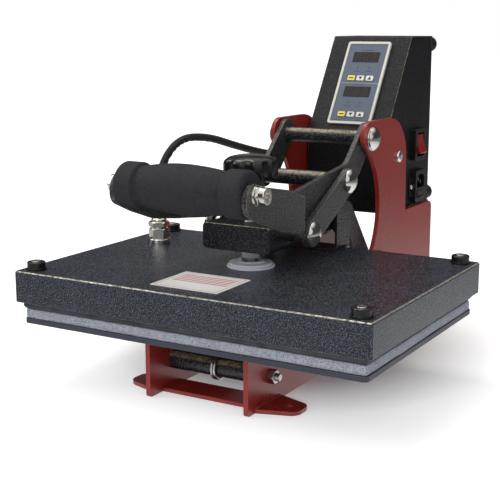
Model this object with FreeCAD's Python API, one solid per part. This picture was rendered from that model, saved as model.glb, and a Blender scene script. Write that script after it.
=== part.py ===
"""Clamshell heat press, 380 x 280 class.

Bench-top press: two red side plates carry a lower platen with a silicone pad, a
control box, and a toggle linkage.  The handle turns on the upper pivot, a pair of
links pulls the arm, and the arm lifts the heated upper platen about the lower pivot.

Frame: +Z up, origin on the bench in the middle of the four foot bolt holes,
the operator stands at -Y, +X is the operator's right.  Millimetres.
Each sub-part goes to parts/NODE.step as its own solid or group of solids.
"""
import FreeCAD, Part
import math
import os

Vec = FreeCAD.Vector
os.makedirs("parts", exist_ok=True)

# ---------------------------------------------------------------- driving sizes
# side plates (base and tower in one piece)
BASE_LENGTH = 460.0        # front to back
BASE_WIDTH = 117.4         # over both side plates
PLATE_T = 5.0              # side plate thickness
BASE_TOP_Z = 64.4          # top edge that carries the lower platen
TOWER_TOP_Z = 257.5
TOWER_FRONT_Y = 21.0
SHELF_Z = 143.5            # rear shelf that carries the control box
SHELF_Y = 143.5            # rear edge of the tower's upper part
TOWER_REAR_R = 50.0        # upper rear corner
TOWER_CUT_R = 84.0         # concave front edge of the tower
TOWER_CUT_Y = -17.7
TOWER_CUT_Z = 159.0

# feet
FOOT_T = 4.0
FOOT_HOLE_OUT = 23.8       # bolt hole to the outer face of the side plate
FOOT_INSET = 38.5          # bolt hole to the end of the base
FOOT_HOLE_D = 7.0
FOOT_STRIP_W = 33.0
FOOT_LUG_OUT = 38.8        # how far a foot lug reaches out from the side plate
FOOT_LUG_ROOT = 25.2       # half width of a lug where it meets the side plate
FOOT_LUG_TIP = 12.5        # half width of a lug at its outer end
FOOT_LUG_R = 11.0

# tie bars between the side plates
TIE_INSET = 43.0           # tie bar to the end of the base
TIE_Z = 29.0
TIE_ROD_D = 8.0
TIE_SLEEVE_D = 20.0
TIE_NUT_AF = 13.0
TIE_NUT_H = 6.5
TIE_ROD_PROUD = 4.5        # rod end beyond the nut

# platens
PLATEN_Y = -124.0          # middle of every platen, and of the pressure spindle
LOWER_PLATEN = (383.0, 264.0, 5.0)
LOWER_PLATEN_R = 5.0
PAD = (382.0, 262.0, 10.0)
PAD_R = 4.0
PAD_GAP = 0.3              # pad to heat plate at rest
HEAT_PLATE = (384.0, 266.0, 14.0)
HEAT_PLATE_R = 3.0
HEAT_PLATE_EDGE = 2.5      # softened lower edge
COVER = (395.0, 276.0)
COVER_Z = 87.0             # lower rim of the cover
COVER_TOP = 119.2
COVER_WALL = 2.0
COVER_CORNER_R = 3.5
INSULATION_T = 10.0
ELEMENT_D = 8.0
CAP_X = 181.0              # corner collars, half spacing
CAP_Y = 122.0
COLLAR_D = 18.5
COLLAR_H = 8.5
COLLAR_BORE = 6.4
CAP_SCREW_D = 6.0
CAP_SCREW_HEAD = 10.0

# pivots (Y, Z), all axes along X
UPPER_PIVOT = (40.5, 238.5)
LOWER_PIVOT = (64.0, 94.5)
LEVER_LINK = (-17.0, 198.3)
ARM_LINK = (-102.0, 155.0)
SPRING_EYE = (60.0, 52.0)
PIN_D = 12.0
RUN_GAP = 0.05             # radial running clearance of pins
SEAT_GAP = 0.1             # radial clearance of fixed pins in their own body
SIDE_GAP = 0.5             # clearance between moving plates, along X
DOME_D = 26.0
DOME_H = 7.5
DOME_TIP_R = 0.6
PIVOT_WASHER_T = 2.0       # under the domed heads of the two pivot bolts

# arm
TUBE_W = 79.0
TUBE_Z = (140.0, 167.0)
TUBE_Y = (-154.5, 18.0)
TUBE_WALL = 3.0
FIN_T = 5.0
PIVOT_TUBE_D = 24.0
SPRING_PIN_D = 8.0
SPRING_PIN_PROUD = 3.0

# lever
LEVER_T = 5.0
LEVER_SPACER = 1.7         # between a lever plate and the side plate
LEVER_OUT_X = 70.0         # inner face where they hold the grip
LEVER_BEND_Y = (-133.0, -149.0)
LEVER_BEND_R = 8.0
GRIP = (-242.2, 214.4)
GRIP_ROD_D = 12.0
GRIP_END_D = 45.0
GRIP_WAIST_D = 42.5
GRIP_BELLY_D = 47.5
GRIP_FLANGE = 21.0
CROSS_TUBE_D = 17.0
GRIP_NUT_AF = 16.5
GRIP_WASHER_T = 1.2
GRIP_THIN_NUT = 4.0        # thin nut under the bolt head
GRIP_NUT_H = 8.0           # full nut at the left end
GRIP_HEAD_D = 16.0
GRIP_HEAD_H = 6.5
GRIP_SOCKET_AF = 8.0
GRIP_SOCKET_DEPTH = 4.5

# links
LINK_T = 6.0
LINK_W = 27.0
LINK_OUT = 1.5             # extra space between a handle plate and its link

# pressure spindle
ROD_D = 16.0
ROD_TOP = 226.0
ROD_FOOT = 120.4
SPINDLE_NUT_AF = 30.0
SPINDLE_NUT_Z = 130.5
SWIVEL_D = 50.0
SWIVEL_TOP = 126.0
KNOB_R = 28.0
KNOB_Z = (212.0, 228.0)
KNOB_DOME = 7.0
KNOB_LOBES = 8
JAM_NUT_AF = 24.0
JAM_NUT_H = 8.0

# anti-rotation bracket on the upper platen
GUIDE_T = 3.0
GUIDE_Y = (-21.0, 11.0)
GUIDE_TOP = 172.0

# cable gland on the upper platen
GLAND_X = -154.0
GLAND_Y = -68.0
GLAND_GAP = 0.3            # cable to the gland's bore, all round
GLAND_HEX = 20.5
GLAND_NUT_HEX = 21.5
GLAND_NUT_LOW = 18.8       # underside of the upper nut, above the cover

# control box
BOX_HALF = 51.0
BOX_FRONT_Y = 100.0
BOX_BEND_Z = 237.0
BOX_TOP_Z = 348.0
BOX_SLANT_Y = 169.4        # front edge of the box top
BOX_BACK_Y = 235.0
SHEET = 1.5
BUMPER_D = 18.5
BUMPER_H = 18.0
BUMPER_LOW_Z = 150.5
BOX_SCREW = (118.8, 210.6)

# display panel on the slanted face, measured from the bend line up the slope
PANEL_W = 56.0
PANEL_LOW = 10.6
PANEL_H = 111.0
PANEL_PROUD = 3.0
PANEL_RIM = 3.0
DISPLAY = (34.0, 14.0)
DISPLAY_LOW = (53.5, 100.5)
BUTTON = (9.4, 6.6)
BUTTON_PITCH = 12.0
BUTTON_LOW = (23.0, 71.6)
BUTTON_PROUD = 1.0
BUTTON_TRAVEL = 0.6
BUTTON_GAP = 0.25

# switch and inlet on the right-hand side of the box (Y, Z centres)
SWITCH = (191.5, 218.0)
SWITCH_SIZE = (34.0, 38.0)
SWITCH_PROUD = 6.5
ROCKER = (20.0, 28.0)
ROCKER_OUT = 6.0           # how far the pressed-in rocker end stands out at the other end
INLET = (194.5, 166.5)
INLET_SIZE = (32.0, 39.0)
INLET_PROUD = 6.5
INLET_FLANGE = (50.0, 26.0, 2.0)     # ears behind the body: width, height, thickness
INLET_SCREW_Y = 20.0                 # half spacing of the ear screws
INLET_MOUTH = (24.0, 16.5)
INLET_MOUTH_Z = 172.5
INLET_DEPTH = 16.0
FUSE = (22.0, 9.0)
FUSE_Z = 156.5

# heater cable
CABLE_D = 9.0
BOX_GLAND = (193.0, 205.0)
BOX_GLAND_REACH = 20.0
CABLE_POINTS = [
    (-154.0, -68.0, 138.0), (-154.5, -67.5, 174.0), (-153.5, -62.0, 209.0),
    (-145.0, -37.0, 236.0), (-134.5, 6.0, 234.0), (-126.0, 50.0, 220.5),
    (-121.0, 90.0, 210.0), (-119.0, 128.0, 202.0), (-119.0, 163.0, 202.0),
    (-90.0, 193.0, 205.0), (-46.0, 193.0, 205.0),
]

# lift spring under the lower platen
SPRING_D = 22.0
SPRING_WIRE = 3.0
SPRING_TAPER = 10.0        # length over which the coil narrows to the rear hook

# ---------------------------------------------------------------- derived sizes
PLATE_OUT = BASE_WIDTH / 2
PLATE_IN = PLATE_OUT - PLATE_T
HALF_L = BASE_LENGTH / 2
FOOT_HOLE_X = PLATE_OUT + FOOT_HOLE_OUT
FOOT_HOLE_Y = HALF_L - FOOT_INSET
FOOT_REACH = PLATE_OUT + FOOT_LUG_OUT
TIE_Y = HALF_L - TIE_INSET
LOWER_TOP = BASE_TOP_Z + LOWER_PLATEN[2]
PAD_TOP = LOWER_TOP + PAD[2]
HEAT_Z = PAD_TOP + PAD_GAP
HEAT_TOP = HEAT_Z + HEAT_PLATE[2]
TUBE_HALF = TUBE_W / 2
FIN_OUT = TUBE_HALF + FIN_T
GUIDE_X = FIN_OUT + SIDE_GAP + GUIDE_T
LEVER_IN_X = PLATE_IN - LEVER_SPACER - LEVER_T
LEVER_X = (LEVER_IN_X, LEVER_IN_X + LEVER_T)
LINK_X = (LEVER_X[1] + SIDE_GAP + LINK_OUT, LEVER_X[1] + SIDE_GAP + LINK_OUT + LINK_T)
GLAND_BORE = CABLE_D + 2 * GLAND_GAP
PIN_R = PIN_D / 2
RUN_BORE = PIN_R + RUN_GAP
SEAT_BORE = PIN_R + SEAT_GAP
CAP_SPOTS = [(sx * CAP_X, PLATEN_Y + sy * CAP_Y) for sx in (-1, 1) for sy in (-1, 1)]


# ---------------------------------------------------------------- helpers
def save(name, *shapes):
    """Write one sub-part, as one solid or a group of separate solids."""
    solids = [solid for shape in shapes for solid in shape.Solids]
    whole = solids[0] if len(solids) == 1 else Part.makeCompound(solids)
    whole.exportStep("parts/%s.step" % name)
    print("%-22s %2d solid(s) %10.0f mm3 valid %s" % (name, len(solids), whole.Volume, whole.isValid()))


def box(x0, x1, y0, y1, z0, z1):
    """Box between two corners."""
    return Part.makeBox(x1 - x0, y1 - y0, z1 - z0, Vec(x0, y0, z0))


def rod_x(x0, x1, spot, radius):
    """Cylinder along X at (Y, Z) = spot."""
    return Part.makeCylinder(radius, x1 - x0, Vec(x0, spot[0], spot[1]), Vec(1, 0, 0))


def rod_z(spot, z0, z1, radius):
    """Cylinder along Z at (X, Y) = spot."""
    return Part.makeCylinder(radius, z1 - z0, Vec(spot[0], spot[1], z0), Vec(0, 0, 1))


def mirrored(shape):
    """The other hand of a piece, across the press's middle plane."""
    return shape.mirror(Vec(0, 0, 0), Vec(1, 0, 0))


def both(shape):
    """A piece and its mirror image."""
    return [shape, mirrored(shape)]


def fuse(*shapes):
    """Union of shapes with the seams between flush faces taken out."""
    return shapes[0].fuse(list(shapes[1:])).removeSplitter()


def rounded_wire(corners, place):
    """Closed wire through corners (a, b, radius), each rounded by a tangent arc.

    place maps the two flat coordinates to a point in space."""
    count = len(corners)
    starts, mids, ends = [], [], []
    for i, (a, b, radius) in enumerate(corners):
        here = Vec(a, b, 0)
        before = Vec(*corners[i - 1][:2], 0)
        after = Vec(*corners[(i + 1) % count][:2], 0)
        to_before = (before - here).normalize()
        to_after = (after - here).normalize()
        half = math.acos(max(-1.0, min(1.0, to_before.dot(to_after)))) / 2
        if radius <= 0 or half > math.pi / 2 - 1e-6:
            starts.append(here)
            mids.append(None)
            ends.append(here)
            continue
        reach = radius / math.tan(half)
        bisector = (to_before + to_after).normalize()
        centre = here + bisector * (radius / math.sin(half))
        starts.append(here + to_before * reach)
        mids.append(centre - bisector * radius)
        ends.append(here + to_after * reach)
    edges = []
    for i in range(count):
        if mids[i] is not None:
            edges.append(Part.Arc(place(*starts[i][:2]), place(*mids[i][:2]), place(*ends[i][:2])).toShape())
        nxt = (i + 1) % count
        if ends[i].distanceToPoint(starts[nxt]) > 1e-6:
            edges.append(Part.LineSegment(place(*ends[i][:2]), place(*starts[nxt][:2])).toShape())
    return Part.Wire(edges)


def plate_x(corners, x0, x1):
    """Plate of a (Y, Z) outline, between two X planes."""
    face = Part.Face(rounded_wire(corners, lambda a, b: Vec(x0, a, b)))
    return face.extrude(Vec(x1 - x0, 0, 0))


def plate_z(corners, z0, z1):
    """Plate of an (X, Y) outline, between two Z planes."""
    face = Part.Face(rounded_wire(corners, lambda a, b: Vec(a, b, z0)))
    return face.extrude(Vec(0, 0, z1 - z0))


def rounded_box(width, depth, z0, z1, radius, middle_y=PLATEN_Y):
    """Slab with rounded upright corners, centred on X = 0."""
    x, y = width / 2, depth / 2
    corners = [(sx * x, middle_y + sy * y, radius) for sx, sy in ((-1, -1), (1, -1), (1, 1), (-1, 1))]
    return plate_z(corners, z0, z1)


def hexagon_x(x0, x1, spot, flats):
    """Hexagonal nut or head along X, its corners chamfered by a cone-like turn."""
    points = [Vec(x0, spot[0] + flats / math.sqrt(3) * math.cos(math.radians(60 * i)),
                  spot[1] + flats / math.sqrt(3) * math.sin(math.radians(60 * i))) for i in range(7)]
    prism = Part.Face(Part.makePolygon(points)).extrude(Vec(x1 - x0, 0, 0))
    turned = rod_x(x0, x1, spot, flats / math.sqrt(3) * 0.985)
    return prism.common(turned.makeChamfer(min(flats * 0.06, (x1 - x0) * 0.3), ring_edges(turned)))


def hexagon_z(spot, z0, z1, flats):
    """Hexagonal nut or head along Z."""
    nut = hexagon_x(0, z1 - z0, (0, 0), flats)
    nut.rotate(Vec(0, 0, 0), Vec(0, 1, 0), -90)
    nut.translate(Vec(spot[0], spot[1], z0))
    return nut


def ring_edges(shape):
    """Full-circle edges of a turned piece."""
    return [e for e in shape.Edges if e.isClosed() and isinstance(e.Curve, Part.Circle)]


def dome_head(x, spot, side):
    """Domed bolt head on the plane X = x, bulging towards side (+1 or -1): a short
    straight skirt under a cap that is an arc of a large circle, turned about X, with
    the small flat that the lathe leaves at the tip."""
    radius = DOME_D / 2
    skirt = DOME_H * 0.22
    rise = DOME_H - skirt
    big_r = (radius * radius + rise * rise) / (2 * rise)
    at = lambda along, r: Vec(x + side * along, spot[0], spot[1] + r)

    def on_cap(r):
        return at(DOME_H - big_r + math.sqrt(big_r * big_r - r * r), r)

    rim, tip = on_cap(radius), on_cap(DOME_TIP_R)
    points = [at(0, 0), at(0, radius), rim]
    edges = [Part.LineSegment(a, b).toShape() for a, b in zip(points, points[1:])]
    edges.append(Part.Arc(rim, on_cap(radius / 2), tip).toShape())
    end = at(tip.x * side - x * side, 0)
    edges.append(Part.LineSegment(tip, end).toShape())
    edges.append(Part.LineSegment(end, points[0]).toShape())
    return Part.Face(Part.Wire(edges)).revolve(Vec(x, spot[0], spot[1]), Vec(1, 0, 0), 360)


def edges_along(shape, axis, where=None):
    """Straight edges of shape that run along axis, and pass the test where."""
    found = []
    for edge in shape.Edges:
        if not isinstance(edge.Curve, (Part.Line, Part.LineSegment)):
            continue
        direction = edge.tangentAt(edge.FirstParameter)
        if abs(abs(direction.dot(axis)) - 1) < 1e-6 and (where is None or where(edge.CenterOfMass)):
            found.append(edge)
    return found


# ---------------------------------------------------------------- frame
def side_plate():
    """Right-hand side plate: low base at the front, tower with the two pivots,
    and a rear shelf for the control box."""
    slot = FOOT_STRIP_W / 2 + SEAT_GAP
    slot_top = FOOT_T + SEAT_GAP
    corners = [
        (-HALF_L, 0, 3), (-FOOT_HOLE_Y - slot, 0, 0), (-FOOT_HOLE_Y - slot, slot_top, 0),
        (-FOOT_HOLE_Y + slot, slot_top, 0), (-FOOT_HOLE_Y + slot, 0, 0),
        (FOOT_HOLE_Y - slot, 0, 0), (FOOT_HOLE_Y - slot, slot_top, 0),
        (FOOT_HOLE_Y + slot, slot_top, 0), (FOOT_HOLE_Y + slot, 0, 0),
        (HALF_L, 0, 3), (HALF_L, SHELF_Z, 9), (SHELF_Y, SHELF_Z, 3),
        (SHELF_Y - 2.5, TOWER_TOP_Z - 0.5, TOWER_REAR_R),
        (TOWER_FRONT_Y, TOWER_TOP_Z, 17), (TOWER_FRONT_Y, TOWER_CUT_Z - TOWER_CUT_R, 4),
        (TOWER_FRONT_Y - 8, BASE_TOP_Z, 4), (-HALF_L, BASE_TOP_Z, 6),
    ]
    plate = plate_x(corners, PLATE_IN, PLATE_OUT)
    plate = plate.cut(rod_x(PLATE_IN - 1, PLATE_OUT + 1, (TOWER_CUT_Y, TOWER_CUT_Z), TOWER_CUT_R))
    horns = edges_along(plate, Vec(1, 0, 0), lambda c: abs(c.y - TOWER_FRONT_Y) < 0.5 and 70 < c.z < 245)
    plate = plate.makeFillet(7, horns)
    for spot, radius in ((UPPER_PIVOT, SEAT_BORE), (LOWER_PIVOT, SEAT_BORE),
                         ((-TIE_Y, TIE_Z), TIE_ROD_D / 2 + SEAT_GAP), ((TIE_Y, TIE_Z), TIE_ROD_D / 2 + SEAT_GAP),
                         (BOX_SCREW, 3.0 + SEAT_GAP)):
        plate = plate.cut(rod_x(PLATE_IN - 1, PLATE_OUT + 1, spot, radius))
    return plate


def foot_strip(end):
    """Cross strip through both side plates, with a rounded lug and bolt hole at
    each side.  end is -1 for the front strip and +1 for the rear one."""
    middle = end * FOOT_HOLE_Y
    strip = box(-PLATE_OUT, PLATE_OUT, middle - FOOT_STRIP_W / 2, middle + FOOT_STRIP_W / 2, 0, FOOT_T)
    lug = plate_z([(PLATE_OUT, middle - FOOT_LUG_ROOT, 0), (FOOT_REACH, middle - FOOT_LUG_TIP, FOOT_LUG_R),
                   (FOOT_REACH, middle + FOOT_LUG_TIP, FOOT_LUG_R), (PLATE_OUT, middle + FOOT_LUG_ROOT, 0)], 0, FOOT_T)
    whole = fuse(strip, lug, mirrored(lug))
    for side in (-1, 1):
        whole = whole.cut(rod_z((side * FOOT_HOLE_X, middle), -1, FOOT_T + 1, FOOT_HOLE_D / 2))
    return whole


def tie_rod(end):
    """Threaded rod across the base with a nut outside each plate."""
    spot = (end * TIE_Y, TIE_Z)
    reach = PLATE_OUT + TIE_NUT_H + TIE_ROD_PROUD
    rod = rod_x(-reach, reach, spot, TIE_ROD_D / 2)
    nut = hexagon_x(PLATE_OUT, PLATE_OUT + TIE_NUT_H, spot, TIE_NUT_AF).cut(rod_x(0, 99, spot, TIE_ROD_D / 2))
    return [rod] + both(nut)


def tie_sleeve(end):
    """Black tube over a tie rod; it spaces the side plates."""
    spot = (end * TIE_Y, TIE_Z)
    tube = rod_x(-PLATE_IN, PLATE_IN, spot, TIE_SLEEVE_D / 2)
    return tube.cut(rod_x(-PLATE_IN, PLATE_IN, spot, TIE_ROD_D / 2 + SEAT_GAP))


def platen_crossbars():
    """Two flat bars between the side plates, right under the lower platen,
    each with two screws up into it."""
    pieces = []
    for y in (PLATEN_Y - 70, PLATEN_Y + 70):
        bar = box(-PLATE_IN, PLATE_IN, y - 15, y + 15, BASE_TOP_Z - 5, BASE_TOP_Z)
        for x in (-30, 30):
            screw = fuse(rod_z((x, y), BASE_TOP_Z - 8.5, BASE_TOP_Z - 5, 5), rod_z((x, y), BASE_TOP_Z - 5, BASE_TOP_Z, 2.5))
            bar = bar.cut(rod_z((x, y), 0, 99, 2.5))
            pieces.append(screw)
        pieces.append(bar)
    return pieces


def pivot_bolt(spot):
    """Pivot bolt: shank through both side plates, a domed head at the right and a
    domed nut at the left."""
    seat = PLATE_OUT + PIVOT_WASHER_T
    shank = rod_x(-PLATE_OUT, PLATE_OUT, spot, PIN_R)
    washer = rod_x(PLATE_OUT, seat, spot, DOME_D / 2 + 0.5)
    bolt = fuse(shank, washer, dome_head(seat, spot, 1))
    nut = fuse(mirrored(washer), dome_head(-seat, spot, -1))
    return [bolt, nut]


def spacer(x0, x1, spot, outer):
    """Washer or spacer ring on a pivot bolt, right-hand side."""
    return rod_x(x0, x1, spot, outer / 2).cut(rod_x(x0 - 1, x1 + 1, spot, SEAT_BORE))


def pivot_spacers():
    """Rings on the pivot bolts between the side plates and what turns inside."""
    upper = spacer(LEVER_X[1] + SIDE_GAP / 2, PLATE_IN, UPPER_PIVOT, 22)
    lower = spacer(FIN_OUT + SIDE_GAP / 2, PLATE_IN, LOWER_PIVOT, 24)
    return both(upper) + both(lower)


# ---------------------------------------------------------------- arm
def arm_tube():
    """Flat rectangular tube that reaches over the upper platen, closed at the
    front, with holes for the spindle and the link pin."""
    z0, z1 = TUBE_Z
    place = lambda a, b: Vec(a, TUBE_Y[0], b)
    outer = Part.Face(rounded_wire([(-TUBE_HALF, z0, 5), (TUBE_HALF, z0, 5), (TUBE_HALF, z1, 5),
                                    (-TUBE_HALF, z1, 5)], place)).extrude(Vec(0, TUBE_Y[1] - TUBE_Y[0], 0))
    w = TUBE_WALL
    place = lambda a, b: Vec(a, TUBE_Y[0] + 4, b)
    inner = Part.Face(rounded_wire([(-TUBE_HALF + w, z0 + w, 2), (TUBE_HALF - w, z0 + w, 2),
                                    (TUBE_HALF - w, z1 - w, 2), (-TUBE_HALF + w, z1 - w, 2)],
                                   place)).extrude(Vec(0, TUBE_Y[1] - TUBE_Y[0], 0))
    front = [e for e in outer.Edges if abs(e.CenterOfMass.y - TUBE_Y[0]) < 1e-6]
    tube = outer.makeFillet(1.5, front).cut(inner)
    tube = tube.cut(rod_z((0, PLATEN_Y), z0 - 1, z1 + 1, ROD_D / 2 + 0.8))
    return tube.cut(rod_x(-TUBE_HALF - 1, TUBE_HALF + 1, ARM_LINK, SEAT_BORE))


def arm_fin():
    """Right-hand plate welded to the tube's side: it runs over the rear of the
    platen, down to the lower pivot, and on to the spring eye."""
    y, z = LOWER_PIVOT
    sy, sz = SPRING_EYE
    corners = [
        (-14, TUBE_Z[0], 3), (-14, 170, 6), (17, 172.5, 17), (y + 17.5, z - 2, 13),
        (sy + 10, sz - 10, 9), (sy - 10, sz - 10, 9), (y - 18, z - 5, 12), (14, TUBE_Z[0], 6),
    ]
    fin = plate_x(corners, TUBE_HALF, FIN_OUT)
    fin = fin.cut(rod_x(TUBE_HALF - 1, FIN_OUT + 1, LOWER_PIVOT, RUN_BORE))
    return fin.cut(rod_x(TUBE_HALF - 1, FIN_OUT + 1, SPRING_EYE, SPRING_PIN_D / 2 + SEAT_GAP))


def spindle_nut():
    """Long hexagonal nut through the bottom of the tube, threaded for the spindle:
    a round boss fills the tube's height and the hexagon hangs below it."""
    spot = (0, PLATEN_Y)
    clear_of_pin = ARM_LINK[0] - PLATEN_Y - PIN_R - SIDE_GAP
    boss = rod_z(spot, TUBE_Z[0] + TUBE_WALL, TUBE_Z[1] - TUBE_WALL, min(SPINDLE_NUT_AF / 2, clear_of_pin))
    hexagon = hexagon_z(spot, SPINDLE_NUT_Z, TUBE_Z[0], SPINDLE_NUT_AF)
    neck = rod_z(spot, TUBE_Z[0], TUBE_Z[0] + TUBE_WALL, ROD_D / 2 + 0.7)
    nut = fuse(boss, neck, hexagon)
    return nut.cut(rod_z(spot, SPINDLE_NUT_Z - 1, TUBE_Z[1], ROD_D / 2 + RUN_GAP))


def link_pivot_pin():
    """Pin through the arm tube that carries the links: shank, a spacer ring each
    side, and a domed head outside each link."""
    reach = LINK_X[1] + SIDE_GAP / 2
    pin = fuse(rod_x(-reach, reach, ARM_LINK, PIN_R), dome_head(reach, ARM_LINK, 1), dome_head(-reach, ARM_LINK, -1))
    ring = rod_x(TUBE_HALF, LINK_X[0] - SIDE_GAP / 2, ARM_LINK, 10).cut(rod_x(0, 99, ARM_LINK, SEAT_BORE))
    return [pin] + both(ring)


# ---------------------------------------------------------------- upper platen
def heat_cover():
    """Deep-drawn cover over the heat plate: open below, rounded corners, softened
    top edge, holes for the spindle flange bolts, gland and corner screws."""
    outer = rounded_box(COVER[0], COVER[1], COVER_Z, COVER_TOP, COVER_CORNER_R)
    rim = [e for e in outer.Edges if abs(e.BoundBox.ZMin - COVER_TOP) < 1e-6 and abs(e.BoundBox.ZMax - COVER_TOP) < 1e-6]
    outer = outer.makeFillet(2.5, rim)
    inner = rounded_box(COVER[0] - 2 * COVER_WALL, COVER[1] - 2 * COVER_WALL, COVER_Z - 1, COVER_TOP - COVER_WALL,
                        COVER_CORNER_R - COVER_WALL)
    cover = outer.cut(inner)
    for spot in CAP_SPOTS:
        cover = cover.cut(rod_z(spot, COVER_TOP - 9, COVER_TOP + 1, COLLAR_BORE / 2))
    return cover.cut(rod_z((GLAND_X, GLAND_Y), COVER_TOP - 9, COVER_TOP + 1, 8 + SEAT_GAP))


def heat_plate():
    """Cast aluminium plate with a softened lower edge and a U-shaped groove in its
    upper face for the heating element."""
    plate = rounded_box(HEAT_PLATE[0], HEAT_PLATE[1], HEAT_Z, HEAT_TOP, HEAT_PLATE_R)
    rim = [e for e in plate.Edges if abs(e.BoundBox.ZMin - HEAT_Z) < 1e-6 and abs(e.BoundBox.ZMax - HEAT_Z) < 1e-6]
    plate = plate.makeChamfer(HEAT_PLATE_EDGE, rim)
    plate = plate.cut(element_path(ELEMENT_D + 4 * SEAT_GAP))
    for spot in CAP_SPOTS:
        plate = plate.cut(rod_z(spot, HEAT_TOP - 9, HEAT_TOP + 1, CAP_SCREW_D / 2 + SEAT_GAP))
    return plate


def element_path(diameter):
    """Round bar bent into a rounded rectangle, half sunk in the heat plate."""
    x, y = HEAT_PLATE[0] / 2 - 55, HEAT_PLATE[1] / 2 - 50
    corners = [(sx * x, PLATEN_Y + sy * y, 40) for sx, sy in ((-1, -1), (1, -1), (1, 1), (-1, 1))]
    wire = rounded_wire(corners, lambda a, b: Vec(a, b, HEAT_TOP))
    start = wire.Edges[0].Vertexes[0].Point
    tangent = wire.Edges[0].tangentAt(wire.Edges[0].FirstParameter)
    section = Part.Wire(Part.makeCircle(diameter / 2, start, tangent))
    return wire.makePipeShell([section], True, False)


def heating_element():
    """Tubular heating element in the heat plate's groove."""
    return element_path(ELEMENT_D)


def insulation():
    """Glass-fibre blanket between the element and the cover, with a clear ring
    round each corner screw."""
    z0 = HEAT_TOP + ELEMENT_D / 2 + SEAT_GAP
    slab = rounded_box(HEAT_PLATE[0] - 4, HEAT_PLATE[1] - 4, z0, z0 + INSULATION_T, HEAT_PLATE_R)
    for spot in CAP_SPOTS:
        slab = slab.cut(rod_z(spot, z0 - 1, COVER_TOP, CAP_SCREW_D / 2 + SEAT_GAP))
    return slab.cut(rod_z((GLAND_X, GLAND_Y), z0 - 1, COVER_TOP, 13))


def corner_collar(spot):
    """Black stepped collar under a corner screw."""
    step = rod_z(spot, COVER_TOP, COVER_TOP + 2, COLLAR_D / 2 + 1)
    barrel = rod_z(spot, COVER_TOP + 2, COVER_TOP + COLLAR_H, COLLAR_D / 2)
    top = [e for e in ring_edges(barrel) if e.CenterOfMass.z > COVER_TOP + COLLAR_H - 0.1]
    collar = fuse(step, barrel.makeFillet(1.2, top))
    collar = collar.cut(rod_z(spot, COVER_TOP + COLLAR_H - 3, COVER_TOP + 99, CAP_SCREW_HEAD / 2 + 0.3))
    return collar.cut(rod_z(spot, COVER_TOP - 1, COVER_TOP + 99, COLLAR_BORE / 2))


def corner_screw(spot):
    """Socket screw from the collar down into the heat plate."""
    seat = COVER_TOP + COLLAR_H - 3
    head = rod_z(spot, seat, seat + 4, CAP_SCREW_HEAD / 2)
    head = head.makeFillet(0.8, [e for e in ring_edges(head) if e.CenterOfMass.z > seat + 3.9])
    head = head.cut(hexagon_z(spot, seat + 1.6, seat + 5, 5))
    return fuse(head, rod_z(spot, HEAT_TOP - 8, seat, CAP_SCREW_D / 2))


def gland_body():
    """Lower half of the cable gland: base ring, hexagon and thread."""
    spot = (GLAND_X, GLAND_Y)
    base = rod_z(spot, COVER_TOP, COVER_TOP + 4.8, 12.5)
    base = base.makeFillet(0.8, [e for e in ring_edges(base) if e.CenterOfMass.z > COVER_TOP + 1])
    hexagon = hexagon_z(spot, COVER_TOP + 4.8, COVER_TOP + GLAND_NUT_LOW - 1.8, GLAND_HEX)
    waist = rod_z(spot, COVER_TOP + GLAND_NUT_LOW - 1.8, COVER_TOP + GLAND_NUT_LOW, 9.5)
    stem = rod_z(spot, COVER_TOP - COVER_WALL - 6, COVER_TOP, 8)
    body = fuse(stem, base, hexagon, waist)
    return body.cut(rod_z(spot, 0, 300, GLAND_BORE / 2))


def gland_nut():
    """Upper nut of the gland with a rounded nose, and its small clamp screw."""
    spot = (GLAND_X, GLAND_Y)
    z0 = COVER_TOP + GLAND_NUT_LOW
    nut = hexagon_z(spot, z0, z0 + 5.7, GLAND_NUT_HEX)
    nose = rod_z(spot, z0 + 5.7, z0 + 9.7, 8.8)
    nose = nose.makeFillet(2.5, [e for e in ring_edges(nose) if e.CenterOfMass.z > z0 + 7])
    nut = fuse(nut, nose).cut(rod_z(spot, 0, 300, GLAND_BORE / 2))
    return nut


def swivel_flange():
    """Two stacked chromed discs on the cover that hold the foot of the spindle."""
    spot = (0, PLATEN_Y)
    step = (SWIVEL_TOP - COVER_TOP) / 2
    lower = rod_z(spot, COVER_TOP, COVER_TOP + step, SWIVEL_D / 2)
    lower = lower.makeFillet(0.8, [e for e in ring_edges(lower) if e.CenterOfMass.z > COVER_TOP + step - 0.1])
    upper = rod_z(spot, COVER_TOP + step, SWIVEL_TOP, SWIVEL_D / 2 - 2)
    upper = upper.makeFillet(0.8, [e for e in ring_edges(upper) if e.CenterOfMass.z > SWIVEL_TOP - 0.1])
    socket = rod_z(spot, ROD_FOOT - 0.3, SWIVEL_TOP + 1, ROD_D / 2 + RUN_GAP)
    return fuse(lower, upper).cut(socket)


def guide_bracket():
    """U-shaped bracket on the rear of the cover.  Its two upright ears pass
    outside the arm fins, so the platen can slide but can't turn."""
    y0, y1 = GUIDE_Y
    t = GUIDE_T
    z0 = COVER_TOP
    bend = 5.0
    place = lambda a, b: Vec(a, y0, b)
    section = rounded_wire([
        (-GUIDE_X, z0, bend + t), (GUIDE_X, z0, bend + t), (GUIDE_X, GUIDE_TOP, 0), (GUIDE_X - t, GUIDE_TOP, 0),
        (GUIDE_X - t, z0 + t, bend), (-GUIDE_X + t, z0 + t, bend), (-GUIDE_X + t, GUIDE_TOP, 0),
        (-GUIDE_X, GUIDE_TOP, 0)], place)
    channel = Part.Face(section).extrude(Vec(0, y1 - y0, 0))
    width = y1 - y0
    blank = plate_x([(y0, z0 - 1, 0), (y1, z0 - 1, 0), (y1, GUIDE_TOP, width / 2 - 0.1),
                     (y0, GUIDE_TOP, width / 2 - 0.1)], -GUIDE_X - 1, GUIDE_X + 1)
    return channel.common(blank)


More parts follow.
